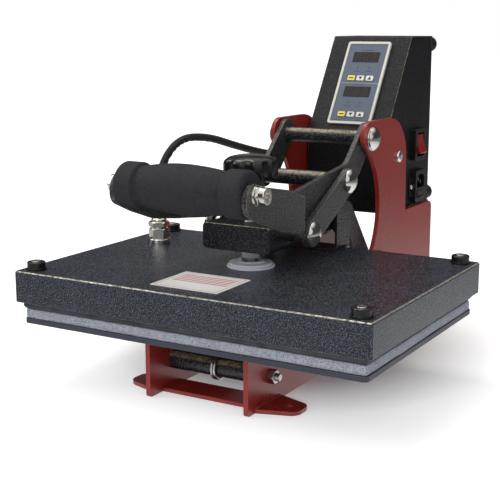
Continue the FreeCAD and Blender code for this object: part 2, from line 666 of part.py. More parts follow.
# ---------------------------------------------------------------- pressure spindle
def pressure_knob():
    """Star knob: a scalloped disc under a shallow dome, with a hub below."""
    spot = (0, PLATEN_Y)
    z0, z1 = KNOB_Z
    top = z1 + KNOB_DOME
    sphere_r = (KNOB_R ** 2 + KNOB_DOME ** 2) / (2 * KNOB_DOME)
    knob = rod_z(spot, z0, top, KNOB_R)
    knob = knob.common(Part.makeSphere(sphere_r, Vec(spot[0], spot[1], top - sphere_r)))
    for i in range(KNOB_LOBES):
        angle = 2 * math.pi * (i + 0.5) / KNOB_LOBES
        notch = (spot[0] + (KNOB_R + 4) * math.cos(angle), spot[1] + (KNOB_R + 4) * math.sin(angle))
        knob = knob.cut(rod_z(notch, z0 - 1, top + 1, 8))
    hub = rod_z(spot, z0 - 4, z0, 13)
    return fuse(knob, hub).cut(rod_z(spot, z0 - 5, ROD_TOP + SEAT_GAP, ROD_D / 2 + SEAT_GAP))


def threaded_rod():
    """Spindle from the swivel on the cover up into the knob."""
    rod = rod_z((0, PLATEN_Y), ROD_FOOT, ROD_TOP, ROD_D / 2)
    return rod.makeChamfer(1.0, ring_edges(rod))


def jam_nut():
    """Nut that locks the knob on the spindle."""
    top = KNOB_Z[0] - 4
    nut = hexagon_z((0, PLATEN_Y), top - JAM_NUT_H, top, JAM_NUT_AF)
    return nut.cut(rod_z((0, PLATEN_Y), 0, 300, ROD_D / 2 + SEAT_GAP))


# ---------------------------------------------------------------- lever
def lever_plate():
    """Right-hand handle plate.  One flat blank with a joggle: close to the tower
    at the pivots, then bent outwards to hold the end of the grip."""
    ty, tz = UPPER_PIVOT
    uy, uz = LEVER_LINK
    gy, gz = GRIP
    side = plate_x([
        (ty + 16.5, tz + 17, 13), (ty - 4, tz + 17, 15), (uy + 10.2, uz + 16.8, 22), (-122, 201, 30),
        (-153, 200.6, 18), (-181, 211.4, 30), (gy + 14, gz + 6, 20), (gy - 17, gz + 17, 15),
        (gy - 17, gz - 15, 13), (gy + 15, gz - 29, 22), (-193, 173.4, 30), (-151, 167, 20), (-115, 168, 20),
        (uy - 12, uz - 15.5, 20), (uy + 13, uz - 14, 16), (ty - 15, tz - 37, 12), (ty + 16.5, tz - 2.6, 14),
    ], LEVER_IN_X - 1, LEVER_OUT_X + LEVER_T + 1)
    t = LEVER_T
    near, far = LEVER_BEND_Y
    turn = math.atan2(LEVER_OUT_X - LEVER_IN_X, near - far)
    shift = t * math.tan(turn / 2)
    r = LEVER_BEND_R
    strip = plate_z([
        (LEVER_IN_X, ty + 40, 0), (LEVER_IN_X, near, r), (LEVER_OUT_X, far, r + t), (LEVER_OUT_X, gy - 40, 0),
        (LEVER_OUT_X + t, gy - 40, 0), (LEVER_OUT_X + t, far + shift, r), (LEVER_IN_X + t, near + shift, r + t),
        (LEVER_IN_X + t, ty + 40, 0)], 140, 280)
    plate = side.common(strip)
    plate = plate.cut(rod_x(LEVER_IN_X - 1, LEVER_X[1] + 1, UPPER_PIVOT, RUN_BORE))
    return plate.cut(rod_x(LEVER_OUT_X - 1, LEVER_OUT_X + t + 1, GRIP, GRIP_ROD_D / 2 + SEAT_GAP))


def lever_tubes():
    """Two cross tubes between the handle plates: one round the upper pivot bolt,
    one on the link axis."""
    upper = rod_x(-LEVER_IN_X, LEVER_IN_X, UPPER_PIVOT, CROSS_TUBE_D / 2)
    upper = upper.cut(rod_x(-99, 99, UPPER_PIVOT, RUN_BORE))
    lower = rod_x(-LEVER_IN_X, LEVER_IN_X, LEVER_LINK, CROSS_TUBE_D / 2)
    return [upper, lower]


def grip_rod():
    """Long socket bolt through the grip.  Its head is at the right, outside a thin
    nut; a full nut is at the left, and a washer lies against each handle plate."""
    out = LEVER_OUT_X + LEVER_T
    washer_end = out + GRIP_WASHER_T
    thin_end = washer_end + GRIP_THIN_NUT
    left_end = washer_end + GRIP_NUT_H
    shank_r = GRIP_ROD_D / 2 - 1
    head = rod_x(thin_end, thin_end + GRIP_HEAD_H, GRIP, GRIP_HEAD_D / 2)
    head = head.makeFillet(0.8, [e for e in ring_edges(head) if e.CenterOfMass.x > thin_end + 1])
    socket = hexagon_x(thin_end + GRIP_HEAD_H - GRIP_SOCKET_DEPTH, thin_end + GRIP_HEAD_H + 2, GRIP, GRIP_SOCKET_AF)
    bolt = fuse(rod_x(-left_end - 1.5, thin_end, GRIP, shank_r), head.cut(socket))
    bore = rod_x(-150, 150, GRIP, shank_r)
    washer = rod_x(out, washer_end, GRIP, 9.5).cut(bore)
    thin_nut = hexagon_x(washer_end, thin_end, GRIP, GRIP_NUT_AF).cut(bore)
    left_nut = hexagon_x(-left_end, -washer_end, GRIP, GRIP_NUT_AF).cut(bore)
    return [bolt] + both(washer) + [thin_nut, left_nut]


def foam_grip():
    """Soft sleeve turned about the rod: a flange at each end, a groove, and a
    barrel that swells in the middle."""
    half = LEVER_OUT_X - 0.3
    bore = GRIP_ROD_D / 2
    flange_in = half - GRIP_FLANGE
    end_r, waist_r, belly_r = GRIP_END_D / 2, GRIP_WAIST_D / 2, GRIP_BELLY_D / 2
    gy, gz = GRIP
    at = lambda x, r: Vec(x, gy, gz + r)
    line = lambda a, b: Part.LineSegment(a, b).toShape()
    arc = lambda a, m, b: Part.Arc(a, m, b).toShape()
    groove = 3.0
    edges = []
    for s in (1, -1):
        edges += [
            line(at(s * half, bore), at(s * half, end_r - 5)),
            arc(at(s * half, end_r - 5), at(s * (half - 1.5), end_r - 1.5), at(s * (half - 5), end_r)),
            line(at(s * (half - 5), end_r), at(s * (flange_in + 3), end_r)),
            arc(at(s * (flange_in + 3), end_r), at(s * (flange_in + 0.9), end_r - 0.9), at(s * flange_in, end_r - 3)),
            line(at(s * flange_in, end_r - 3), at(s * (flange_in - groove), waist_r - 2)),
        ]
    edges.append(arc(at(flange_in - groove, waist_r - 2), at(0, belly_r), at(-flange_in + groove, waist_r - 2)))
    edges.append(line(at(half, bore), at(-half, bore)))
    profile = Part.Face(Part.Wire(Part.__sortEdges__(edges)))
    return profile.revolve(Vec(0, gy, gz), Vec(1, 0, 0), 360)


# ---------------------------------------------------------------- links
def link_bar():
    """Right-hand link: a flat bar with a round eye at each end."""
    (vy, vz), (uy, uz) = ARM_LINK, LEVER_LINK
    length = math.hypot(uy - vy, uz - vz)
    angle = math.degrees(math.atan2(uz - vz, uy - vy))
    r = LINK_W / 2
    bar = plate_x([(-r, -r, r - 0.01), (length + r, -r, r - 0.01), (length + r, r, r - 0.01), (-r, r, r - 0.01)], *LINK_X)
    bar.rotate(Vec(0, 0, 0), Vec(1, 0, 0), angle)
    bar.translate(Vec(0, vy, vz))
    bar = bar.cut(rod_x(LINK_X[0] - 1, LINK_X[1] + 1, ARM_LINK, RUN_BORE))
    return bar.cut(rod_x(LINK_X[0] - 1, LINK_X[1] + 1, LEVER_LINK, SEAT_BORE))


def link_bolt():
    """Domed bolt in the link's upper eye, right-hand side."""
    return fuse(rod_x(LINK_X[0], LINK_X[1], LEVER_LINK, PIN_R), dome_head(LINK_X[1], LEVER_LINK, 1))


# ---------------------------------------------------------------- control box
SLOPE = math.atan2(BOX_SLANT_Y - BOX_FRONT_Y, BOX_TOP_Z - BOX_BEND_Z)


def on_slope(shape):
    """Move a piece drawn flat onto the slanted face.

    Drawn with X across, Y up the slope from the bend line and Z out of the face."""
    placed = shape.copy()
    placed.rotate(Vec(0, 0, 0), Vec(1, 0, 0), 90 - math.degrees(SLOPE))
    placed.translate(Vec(0, BOX_FRONT_Y, BOX_BEND_Z))
    return placed


def box_outline(inset):
    """Side outline of the control box, inset by a wall."""
    return [
        (BOX_FRONT_Y + inset, SHELF_Z + inset, max(3 - inset, 1)), (BOX_BACK_Y, SHELF_Z + inset, 0),
        (BOX_BACK_Y, BOX_TOP_Z - inset, 0),
        (BOX_SLANT_Y + inset * 0.75, BOX_TOP_Z - inset, max(3 - inset, 1)),
        (BOX_FRONT_Y + inset, BOX_BEND_Z + inset * 0.3, max(4 - inset, 1)),
    ]


def control_box():
    """Folded steel box, open at the back, with a window for the panel in its
    slanted face and openings for the switch, the inlet and the heater cable."""
    outer = plate_x(box_outline(0), -BOX_HALF, BOX_HALF)
    inner = plate_x(box_outline(SHEET), -BOX_HALF + SHEET, BOX_HALF - SHEET)
    shell = outer.cut(inner)
    shell = shell.cut(box(-BOX_HALF - 1, BOX_HALF + 1, BOX_BACK_Y - SHEET, BOX_BACK_Y + 1, SHELF_Z - 1, BOX_TOP_Z + 1))
    w = PANEL_W / 2 - 5
    shell = shell.cut(on_slope(box(-w, w, PANEL_LOW + 5, PANEL_LOW + PANEL_H - 5, -6, 3)))
    for (y, z), (dy, dz) in ((SWITCH, SWITCH_SIZE), (INLET, INLET_SIZE)):
        a, b = dy / 2 - 3, dz / 2 - 3
        shell = shell.cut(box(BOX_HALF - 3, BOX_HALF + 1, y - a, y + a, z - b, z + b))
    for side in (-1, 1):
        shell = shell.cut(rod_x(BOX_HALF - 3, BOX_HALF + 1, (INLET[0] + side * INLET_SCREW_Y, INLET[1]), 1.5 + SEAT_GAP))
    shell = shell.cut(rod_x(-BOX_HALF - 1, -BOX_HALF + 3, BOX_GLAND, 7 + SEAT_GAP))
    return shell.cut(rod_x(-BOX_HALF - 1, BOX_HALF + 1, BOX_SCREW, 3 + SEAT_GAP))


def back_cover():
    """Flat cover at the back of the box, with a field of vent slots."""
    y0, y1 = BOX_BACK_Y - SHEET, BOX_BACK_Y
    cover = box(-BOX_HALF, BOX_HALF, y0, y1, SHELF_Z, BOX_TOP_Z)
    for i in range(6):
        z = 250 + 9 * i
        cover = cover.cut(box(-24, 24, y0 - 1, y1 + 1, z, z + 3.5))
    return cover


def box_screws():
    """Pan-head screws: two that hold the box to the tower, each with its spacer,
    two in the ears of the inlet, and four in the back cover."""
    head = rod_x(PLATE_OUT, PLATE_OUT + 4, BOX_SCREW, 7)
    head = head.makeFillet(2.5, [e for e in ring_edges(head) if e.CenterOfMass.x > PLATE_OUT + 3])
    screw = fuse(head, rod_x(BOX_HALF - 6, PLATE_OUT, BOX_SCREW, 3))
    ring = rod_x(BOX_HALF, PLATE_IN, BOX_SCREW, 7).cut(rod_x(0, 99, BOX_SCREW, 3 + SEAT_GAP))
    pieces = both(screw) + both(ring)
    for side in (-1, 1):
        spot = (INLET[0] + side * INLET_SCREW_Y, INLET[1])
        x0 = BOX_HALF + INLET_FLANGE[2]
        pieces.append(fuse(rod_x(x0, x0 + 1.8, spot, 2.8), rod_x(BOX_HALF - 4, x0, spot, 1.5)))
    for x in (-BOX_HALF + 9, BOX_HALF - 9):
        for z in (SHELF_Z + 40, BOX_TOP_Z - 45):
            spot = Vec(x, BOX_BACK_Y, z)
            pieces.append(Part.makeCylinder(3.8, 2.2, spot, Vec(0, 1, 0)))
    return pieces


def rear_bumpers():
    """Four rubber bumpers on the back of the box."""
    pieces = []
    for x in (-BOX_HALF + BUMPER_D / 2, BOX_HALF - BUMPER_D / 2):
        for z in (BUMPER_LOW_Z, BOX_TOP_Z - BUMPER_D / 2 - 1):
            foot = Part.makeCylinder(BUMPER_D / 2, BUMPER_H, Vec(x, BOX_BACK_Y, z), Vec(0, 1, 0))
            end = [e for e in ring_edges(foot) if e.CenterOfMass.y > BOX_BACK_Y + 1]
            pieces.append(foot.makeFillet(2, end))
    return pieces


def panel_bezel():
    """Pale frame round the panel face."""
    w, low, high = PANEL_W / 2, PANEL_LOW, PANEL_LOW + PANEL_H
    outer = plate_z([(-w, low, 3), (w, low, 3), (w, high, 3), (-w, high, 3)], 0, PANEL_PROUD)
    r = PANEL_RIM
    inner = plate_z([(-w + r, low + r, 1), (w - r, low + r, 1), (w - r, high - r, 1), (-w + r, high - r, 1)],
                    -1, PANEL_PROUD + 1)
    return on_slope(outer.cut(inner))


def button_spots():
    """Flat middle of each of the six buttons: name, x, height up the slope."""
    names = ("set", "down", "up")
    spots = []
    for row, low in (("lower", BUTTON_LOW[0]), ("upper", BUTTON_LOW[1])):
        for i, name in enumerate(names):
            spots.append(("%s_button_%s" % (name, row), (i - 1) * BUTTON_PITCH, low))
    return spots


def panel_face():
    """Printed face plate with a recess for each display and each button."""
    r = PANEL_RIM + SEAT_GAP
    w, low, high = PANEL_W / 2 - r, PANEL_LOW + r, PANEL_LOW + PANEL_H - r
    face = plate_z([(-w, low, 1.5), (w, low, 1.5), (w, high, 1.5), (-w, high, 1.5)], 0, PANEL_PROUD - 0.6)
    for base in DISPLAY_LOW:
        face = face.cut(box(-DISPLAY[0] / 2, DISPLAY[0] / 2, base - DISPLAY[1] / 2, base + DISPLAY[1] / 2, 0.8, 9))
    for _, x, y in button_spots():
        a, b = BUTTON[0] / 2 + BUTTON_GAP, BUTTON[1] / 2 + BUTTON_GAP
        face = face.cut(box(x - a, x + a, y - b, y + b, 0.6, 9))
    return on_slope(face)


def display_windows():
    """Two dark windows, flush with the face."""
    pieces = []
    for base in DISPLAY_LOW:
        a, b = DISPLAY[0] / 2 - SEAT_GAP, DISPLAY[1] / 2 - SEAT_GAP
        pieces.append(on_slope(box(-a, a, base - b, base + b, 0.8, PANEL_PROUD - 0.4)))
    return pieces


def button(x, y):
    """One push button with rounded corners, standing a little proud."""
    a, b = BUTTON[0] / 2, BUTTON[1] / 2
    low = 0.6 + BUTTON_TRAVEL + 0.3
    return on_slope(plate_z([(x - a, y - b, 1.2), (x + a, y - b, 1.2), (x + a, y + b, 1.2), (x - a, y + b, 1.2)],
                            low, PANEL_PROUD - 0.6 + BUTTON_PROUD))


def controller_module():
    """Controller block behind the panel, and the relay on the box floor."""
    w = PANEL_W / 2 - 6
    block = on_slope(box(-w, w, PANEL_LOW + 7, PANEL_LOW + PANEL_H - 7, -45, -SEAT_GAP))
    relay = box(-30, 20, BOX_FRONT_Y + 14, BOX_FRONT_Y + 72, SHELF_Z + SHEET, SHELF_Z + SHEET + 26)
    return [block, relay]


def rocker_housing():
    """Switch frame on the side of the box, with a well for the rocker."""
    y, z = SWITCH
    a, b = SWITCH_SIZE[0] / 2, SWITCH_SIZE[1] / 2
    frame = plate_x([(y - a, z - b, 2), (y + a, z - b, 2), (y + a, z + b, 2), (y - a, z + b, 2)],
                    BOX_HALF, BOX_HALF + SWITCH_PROUD)
    body = box(BOX_HALF - 22, BOX_HALF, y - a + 3.2, y + a - 3.2, z - b + 3.2, z + b - 3.2)
    well_a, well_b = ROCKER[0] / 2 + 0.6, ROCKER[1] / 2 + 0.6
    well = box(BOX_HALF - 12, BOX_HALF + 20, y - well_a, y + well_a, z - well_b, z + well_b)
    return fuse(frame, body).cut(well)


def power_rocker():
    """Rocker with two faces that meet at a shallow angle; its lower half stands
    out, which is the switched-on position."""
    y, z = SWITCH
    a, b = ROCKER[0] / 2, ROCKER[1] / 2
    face = BOX_HALF + SWITCH_PROUD
    place = lambda p, q: Vec(p, y - a, q)
    profile = rounded_wire([(face - 9, z - 5, 2), (face - 9, z + 5, 2), (face - 1.5, z + b - 0.6, 1),
                            (face + 0.3, z, 0), (face + ROCKER_OUT, z - b + 1.2, 1.5)], place)
    return Part.Face(profile).extrude(Vec(0, 2 * a, 0))


def inlet_housing():
    """Mains inlet: frame with a D-shaped mouth and, below it, a fuse drawer slot."""
    y, z = INLET
    a, b = INLET_SIZE[0] / 2, INLET_SIZE[1] / 2
    x0 = BOX_HALF
    frame = plate_x([(y - a, z - b, 3), (y + a, z - b, 3), (y + a, z + b, 3), (y - a, z + b, 3)], x0, x0 + INLET_PROUD)
    body = box(x0 - 18, x0, y - a + 3.2, y + a - 3.2, z - b + 3.2, z + b - 3.2)
    fa, fb = INLET_FLANGE[0] / 2, INLET_FLANGE[1] / 2
    ears = plate_x([(y - fa, z - fb, 6), (y + fa, z - fb, 6), (y + fa, z + fb, 6), (y - fa, z + fb, 6)],
                   x0, x0 + INLET_FLANGE[2])
    for side in (-1, 1):
        ears = ears.cut(rod_x(x0 - 1, x0 + 9, (y + side * INLET_SCREW_Y, z), 1.5 + SEAT_GAP))
    whole = fuse(frame, body, ears)
    ma, mb = INLET_MOUTH[0] / 2, INLET_MOUTH[1] / 2
    mz = INLET_MOUTH_Z
    mouth = plate_x([(y - ma, mz - mb, 1), (y + ma, mz - mb, 1), (y + ma, mz + mb - 5, 1), (y + ma - 5, mz + mb, 1),
                     (y - ma + 5, mz + mb, 1), (y - ma, mz + mb - 5, 1)], x0 + INLET_PROUD - INLET_DEPTH, x0 + INLET_PROUD + 1)
    slot = box(x0 + INLET_PROUD - 14, x0 + INLET_PROUD + 1, y - FUSE[0] / 2 - 0.3, y + FUSE[0] / 2 + 0.3,
               FUSE_Z - FUSE[1] / 2 - 0.3, FUSE_Z + FUSE[1] / 2 + 0.3)
    return whole.cut(mouth).cut(slot)


def inlet_pins():
    """Three flat contact pins in the mouth."""
    y = INLET[0]
    x0 = BOX_HALF + INLET_PROUD - INLET_DEPTH
    spots = ((y - 7, INLET_MOUTH_Z - 2), (y, INLET_MOUTH_Z + 2), (y + 7, INLET_MOUTH_Z - 2))
    return [box(x0, x0 + 13, py - 1, py + 1, pz - 2, pz + 2) for py, pz in spots]


def fuse_drawer():
    """Small drawer for the fuse, with a finger lip along its lower edge."""
    y = INLET[0]
    x1 = BOX_HALF + INLET_PROUD
    a, b = FUSE[0] / 2, FUSE[1] / 2
    drawer = box(x1 - 13, x1 + 0.8, y - a, y + a, FUSE_Z - b, FUSE_Z + b)
    lip = box(x1 + 0.8, x1 + 2.0, y - a + 4, y + a - 4, FUSE_Z - b, FUSE_Z - b + 2)
    return fuse(drawer, lip)


def box_gland():
    """Gland on the left side of the box where the heater cable goes in."""
    spot = BOX_GLAND
    x0 = -BOX_HALF
    flange = rod_x(x0 - 4, x0, spot, 11)
    hexagon = hexagon_x(x0 - BOX_GLAND_REACH + 6, x0 - 4, spot, 19)
    nose = rod_x(x0 - BOX_GLAND_REACH, x0 - BOX_GLAND_REACH + 6, spot, 7.5)
    nose = nose.makeFillet(2, [e for e in ring_edges(nose) if e.CenterOfMass.x < x0 - BOX_GLAND_REACH + 1])
    stem = rod_x(x0, x0 + 6, spot, 7)
    return fuse(stem, flange, hexagon, nose).cut(rod_x(x0 - 60, x0 + 60, spot, GLAND_BORE / 2))


# ---------------------------------------------------------------- cable and spring
def cord_tube(points, diameter):
    """Round tube along straight runs joined by tangent arcs.

    Each arc takes 0.45 of its shorter run."""
    pts = [Vec(*p) for p in points]
    edges = []
    here = pts[0]
    radii = []
    for i in range(1, len(pts) - 1):
        back, ahead = pts[i - 1] - pts[i], pts[i + 1] - pts[i]
        reach = 0.45 * min(back.Length, ahead.Length)
        turn = math.pi - back.getAngle(ahead)
        radius = reach / math.tan(turn / 2)
        radii.append(radius)
        u, v = back.normalize(), ahead.normalize()
        start, end = pts[i] + u * reach, pts[i] + v * reach
        bisector = (u + v).normalize()
        mid = pts[i] + bisector * (radius / math.cos(turn / 2) - radius)
        edges.append(Part.LineSegment(here, start).toShape())
        edges.append(Part.Arc(start, mid, end).toShape())
        here = end
    edges.append(Part.LineSegment(here, pts[-1]).toShape())
    path = Part.Wire(edges)
    section = Part.Wire(Part.makeCircle(diameter / 2, pts[0], pts[1] - pts[0]))
    tube = path.makePipeShell([section], True, False)
    ideal = math.pi * diameter ** 2 / 4 * path.Length
    print("cord length %.1f, tightest arc %.1f, radii %s, volume %.4f of section times length"
          % (path.Length, min(radii), [round(r) for r in radii], tube.Volume / ideal))
    return tube


def lift_spring():
    """Extension spring that helps to open the press: a double hook of wire round
    the front tie bar, the close-wound body, and a hook round the arm's spring pin.
    The body narrows at each end to where the hook's wire leaves it."""
    start, end = Vec(0, -TIE_Y, TIE_Z), Vec(0, SPRING_EYE[0], SPRING_EYE[1])
    along = (end - start).normalize()
    wire_r = SPRING_WIRE / 2
    coil_r = SPRING_D / 2
    hooks = []
    for middle, held_d, way in ((start, TIE_SLEEVE_D, 1), (end, SPRING_PIN_D, -1)):
        hook_r = held_d / 2 + wire_r + 0.4
        clear = held_d / 2 + 0.5
        foot_r = math.sqrt(hook_r ** 2 - clear ** 2)
        hooks.append((middle, hook_r, foot_r, middle + along * (way * clear)))
    (_, _, front_foot, first), (_, _, rear_foot, last) = hooks
    length = (last - first).Length - 2 * SPRING_TAPER

    def wound(inset):
        front = Part.makeCone(front_foot + wire_r - inset, coil_r - inset, SPRING_TAPER, first, along)
        coil = Part.makeCylinder(coil_r - inset, length, first + along * SPRING_TAPER, along)
        rear = Part.makeCone(coil_r - inset, rear_foot + wire_r - inset, SPRING_TAPER, last - along * SPRING_TAPER, along)
        return front.fuse([coil, rear])

    envelope = wound(0)
    pieces = [envelope.cut(wound(SPRING_WIRE))]
    for middle, hook_r, _, _ in hooks:
        for shift in (-wire_r - SEAT_GAP, wire_r + SEAT_GAP):
            ring = Part.makeTorus(hook_r, wire_r, middle + Vec(shift, 0, 0), Vec(1, 0, 0))
            pieces.append(ring.cut(envelope))
    return pieces


# ---------------------------------------------------------------- build
right_plate = side_plate()
save("side_plate_right", right_plate)
save("side_plate_left", mirrored(right_plate))
save("front_foot_strip", foot_strip(-1))
save("rear_foot_strip", foot_strip(1))
save("tie_rods", *tie_rod(-1), *tie_rod(1))
save("tie_sleeves", tie_sleeve(-1), tie_sleeve(1))
save("platen_crossbars", *platen_crossbars())
save("lower_platen", rounded_box(LOWER_PLATEN[0], LOWER_PLATEN[1], BASE_TOP_Z, LOWER_TOP, LOWER_PLATEN_R))
save("silicone_pad", rounded_box(PAD[0], PAD[1], LOWER_TOP, PAD_TOP, PAD_R))
save("upper_pivot_bolt", *pivot_bolt(UPPER_PIVOT))
save("lower_pivot_bolt", *pivot_bolt(LOWER_PIVOT))
save("pivot_spacers", *pivot_spacers())

save("arm_tube", arm_tube())
save("arm_fins", *both(arm_fin()))
pivot_tube = rod_x(-TUBE_HALF, TUBE_HALF, LOWER_PIVOT, PIVOT_TUBE_D / 2)
save("arm_pivot_tube", pivot_tube.cut(rod_x(-99, 99, LOWER_PIVOT, RUN_BORE)))
save("spindle_nut", spindle_nut())
save("link_pivot_pin", *link_pivot_pin())
pin_end = FIN_OUT + min(SPRING_PIN_PROUD, (PLATE_IN - FIN_OUT) / 2)
save("spring_pin", rod_x(-pin_end, pin_end, SPRING_EYE, SPRING_PIN_D / 2))

save("heat_cover", heat_cover())
save("heat_plate", heat_plate())
save("heating_element", heating_element())
save("insulation", insulation())
save("corner_collars", *[corner_collar(spot) for spot in CAP_SPOTS])
save("corner_screws", *[corner_screw(spot) for spot in CAP_SPOTS])
save("gland_body", gland_body())
save("gland_nut", gland_nut())
save("swivel_flange", swivel_flange())
save("guide_bracket", guide_bracket())

save("pressure_knob", pressure_knob())
save("threaded_rod", threaded_rod())
save("jam_nut", jam_nut())

right_lever = lever_plate()
save("lever_plate_right", right_lever)
save("lever_plate_left", mirrored(right_lever))
save("lever_tubes", *lever_tubes())
save("grip_rod", *grip_rod())
save("foam_grip", foam_grip())
save("link_bars", *both(link_bar()))
save("link_bolts", *both(link_bolt()))

save("control_box", control_box())
save("back_cover", back_cover())
save("box_screws", *box_screws())
save("rear_bumpers", *rear_bumpers())
save("panel_bezel", panel_bezel())
save("panel_face", panel_face())
save("display_windows", *display_windows())
for button_name, button_x, button_y in button_spots():
    save(button_name, button(button_x, button_y))
save("controller_module", *controller_module())
save("rocker_housing", rocker_housing())
save("power_rocker", power_rocker())
save("inlet_housing", inlet_housing())
save("inlet_pins", *inlet_pins())
save("fuse_drawer", fuse_drawer())
save("box_gland", box_gland())
save("heater_cable", cord_tube(CABLE_POINTS, CABLE_D))
save("lift_spring", *lift_spring())
print("slope of the panel %.3f degrees from upright" % math.degrees(SLOPE))
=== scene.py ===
# %% [markdown]
# Clamshell heat press, dressed for display.
# The solid model gives every metal and plastic part its shape and its place.  This
# notebook adds what a solid modeller leaves out: the camera and light, the soft and
# wound pieces, the small printed marks, and a finish for every surface.
# Lengths are metres, +Z is up, the operator stands at -Y, and the origin is on the
# bench in the middle of the four foot bolt holes.

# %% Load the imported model
import math
import bpy
import numpy as np
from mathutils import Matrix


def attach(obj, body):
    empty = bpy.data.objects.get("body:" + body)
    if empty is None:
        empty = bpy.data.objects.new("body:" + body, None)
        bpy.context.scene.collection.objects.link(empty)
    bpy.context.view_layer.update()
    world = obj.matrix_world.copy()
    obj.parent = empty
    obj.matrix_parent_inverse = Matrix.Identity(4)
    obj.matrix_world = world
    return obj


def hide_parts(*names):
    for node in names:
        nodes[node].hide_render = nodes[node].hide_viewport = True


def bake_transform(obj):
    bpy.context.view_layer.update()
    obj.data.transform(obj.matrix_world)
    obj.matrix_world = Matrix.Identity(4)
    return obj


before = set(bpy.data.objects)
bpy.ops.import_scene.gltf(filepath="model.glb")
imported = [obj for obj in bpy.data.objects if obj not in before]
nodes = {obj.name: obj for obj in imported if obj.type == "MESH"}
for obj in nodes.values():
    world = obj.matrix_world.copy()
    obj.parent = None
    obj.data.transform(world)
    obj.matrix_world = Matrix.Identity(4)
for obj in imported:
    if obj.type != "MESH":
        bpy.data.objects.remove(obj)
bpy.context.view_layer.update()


def mm(*values):
    """Millimetres to metres, as an array."""
    return np.array(values, float) / 1000.0


# %% [markdown]
# The camera.  The press is seen from the operator's right-hand front corner, a little
# above the platen, through a long lens from about a metre and a quarter away.  A camera
# can be aimed with a constraint or turned by hand; here its three axes are worked out
# from an azimuth, an elevation and a very small roll, because those are the numbers
# that a camera operator would note down.

# %% Camera
CAMERA_PLACE = mm(551.5, -1064.3, 364.3)
CAMERA_AZIMUTH, CAMERA_ELEVATION, CAMERA_ROLL = (math.radians(a) for a in (30.44, 11.82, -0.09))
FOCAL_PIXELS, PICTURE_PIXELS, SENSOR = 1086.0, 500.0, 36.0


def round_about(angle, first, second):
    """Directions in the plane of two square directions: the cosine of the angle times
    the first, plus its sine times the second."""
    return np.cos(angle)[..., None] * first + np.sin(angle)[..., None] * second


def camera_axes(azimuth, elevation, roll):
    """Right, up and backward directions: backward comes from the two angles, right is
    level, up is square to both, and then right and up turn together by the roll."""
    level = math.cos(elevation)
    back = np.array([math.sin(azimuth) * level, -math.cos(azimuth) * level, math.sin(elevation)])
    right = np.array([math.cos(azimuth), math.sin(azimuth), 0.0])
    up = np.cross(back, right)
    return round_about(roll, right, up), round_about(roll, up, -right), back


def stand(holder, right, up, back, place=(0.0, 0.0, 0.0)):
    """Put a camera or lamp in the scene: its three directions and its place are the
    columns of its matrix."""
    bpy.context.scene.collection.objects.link(holder)
    matrix = np.eye(4)
    matrix[:3] = np.stack([right, up, back, place], -1)
    holder.matrix_world = [list(column) for column in matrix.T]


camera_data = bpy.data.cameras.new("studio_camera")
camera_data.sensor_width = SENSOR
camera_data.lens = SENSOR * FOCAL_PIXELS / PICTURE_PIXELS
camera_data.clip_start, camera_data.clip_end = 0.05, 100.0
camera = bpy.data.objects.new("studio_camera", camera_data)
stand(camera, *camera_axes(CAMERA_AZIMUTH, CAMERA_ELEVATION, CAMERA_ROLL), CAMERA_PLACE)
bpy.context.scene.camera = camera
print("lens %.1f mm" % camera_data.lens)

# %% [markdown]
# One way of making a mesh serves for nearly every new piece.  A sheet of points with
# rows and columns becomes a skin of four-sided faces.  Its columns run round and are
# joined end to end.  Its rows are joined too where they make a ring; otherwise each end
# is drawn together to one point.  Whole arrays are worked out at once, so no loop
# visits single vertices.

# %% Skin over a grid of points
def grid_faces(rows, columns, ring):
    """Corner numbers of the faces: the point, its neighbour in the next column, the one
    across, and its neighbour in the next row, with the last column joined to the first,
    and the last row too in a ring."""
    i = np.arange(rows if ring else rows - 1)[:, None]
    j = np.arange(columns)[None, :]
    a, b, right = i * columns, (i + 1) % rows * columns, (j + 1) % columns
    return np.stack(np.broadcast_arrays(a + j, a + right, b + right, b + j), -1).reshape(-1, 4)


def pole_faces(row_start, columns, pole, flip):
    """Triangles from each pair of neighbours in one closed row to a single point."""
    j = np.arange(columns)
    corners = np.stack([row_start + j, row_start + (j + 1) % columns, np.full(columns, pole)], -1)
    return corners[:, ::-1] if flip else corners


def skin(points, ring=False, flip=False):
    """Vertices and faces of a grid of shape (rows, columns, 3).  Unless it's a ring,
    the first and the last row are each closed by a point at their middle."""
    rows, columns = points.shape[:2]
    vertices = points.reshape(-1, 3)
    faces = grid_faces(rows, columns, ring)
    faces = [faces[:, ::-1] if flip else faces]
    if not ring:
        vertices = np.vstack([vertices, points[0].mean(0), points[-1].mean(0)])
        faces.append(pole_faces(0, columns, rows * columns, not flip))
        faces.append(pole_faces((rows - 1) * columns, columns, rows * columns + 1, flip))
    return vertices, faces


pieces = {}


def make_piece(name, parts, body=None, stands_for=None, sharp_over=180):
    """One mesh object from several skins. It's shaded smooth except where faces meet at
    more than the given angle in degrees."""
    vertices, polygons, start = [], [], 0
    for points, groups in parts:
        vertices.append(points)
        for group in groups:
            polygons += (group + start).tolist()
        start += len(points)
    mesh = bpy.data.meshes.new(name)
    mesh.from_pydata(np.vstack(vertices).tolist(), [], polygons)
    mesh.shade_smooth() if sharp_over else mesh.shade_flat()
    if 0 < sharp_over < 180:
        mesh.set_sharp_from_angle(angle=math.radians(sharp_over))
    piece = pieces[name] = bpy.data.objects.new(name, mesh)
    bpy.context.scene.collection.objects.link(piece)
    if stands_for:
        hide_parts(stands_for)
    if body:
        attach(piece, body)
    print("%-24s %6d faces" % (name, len(mesh.polygons)))
    return piece


# %% [markdown]
# Many parts of a press are turned, so they are a profile spun about an axis.  Others
# are a round section carried along a line: a cable, a wire, a bead of weld.  For those
# the section is held square to the line by a frame that turns as little as it can from
# one point to the next, so the tube doesn't twist.

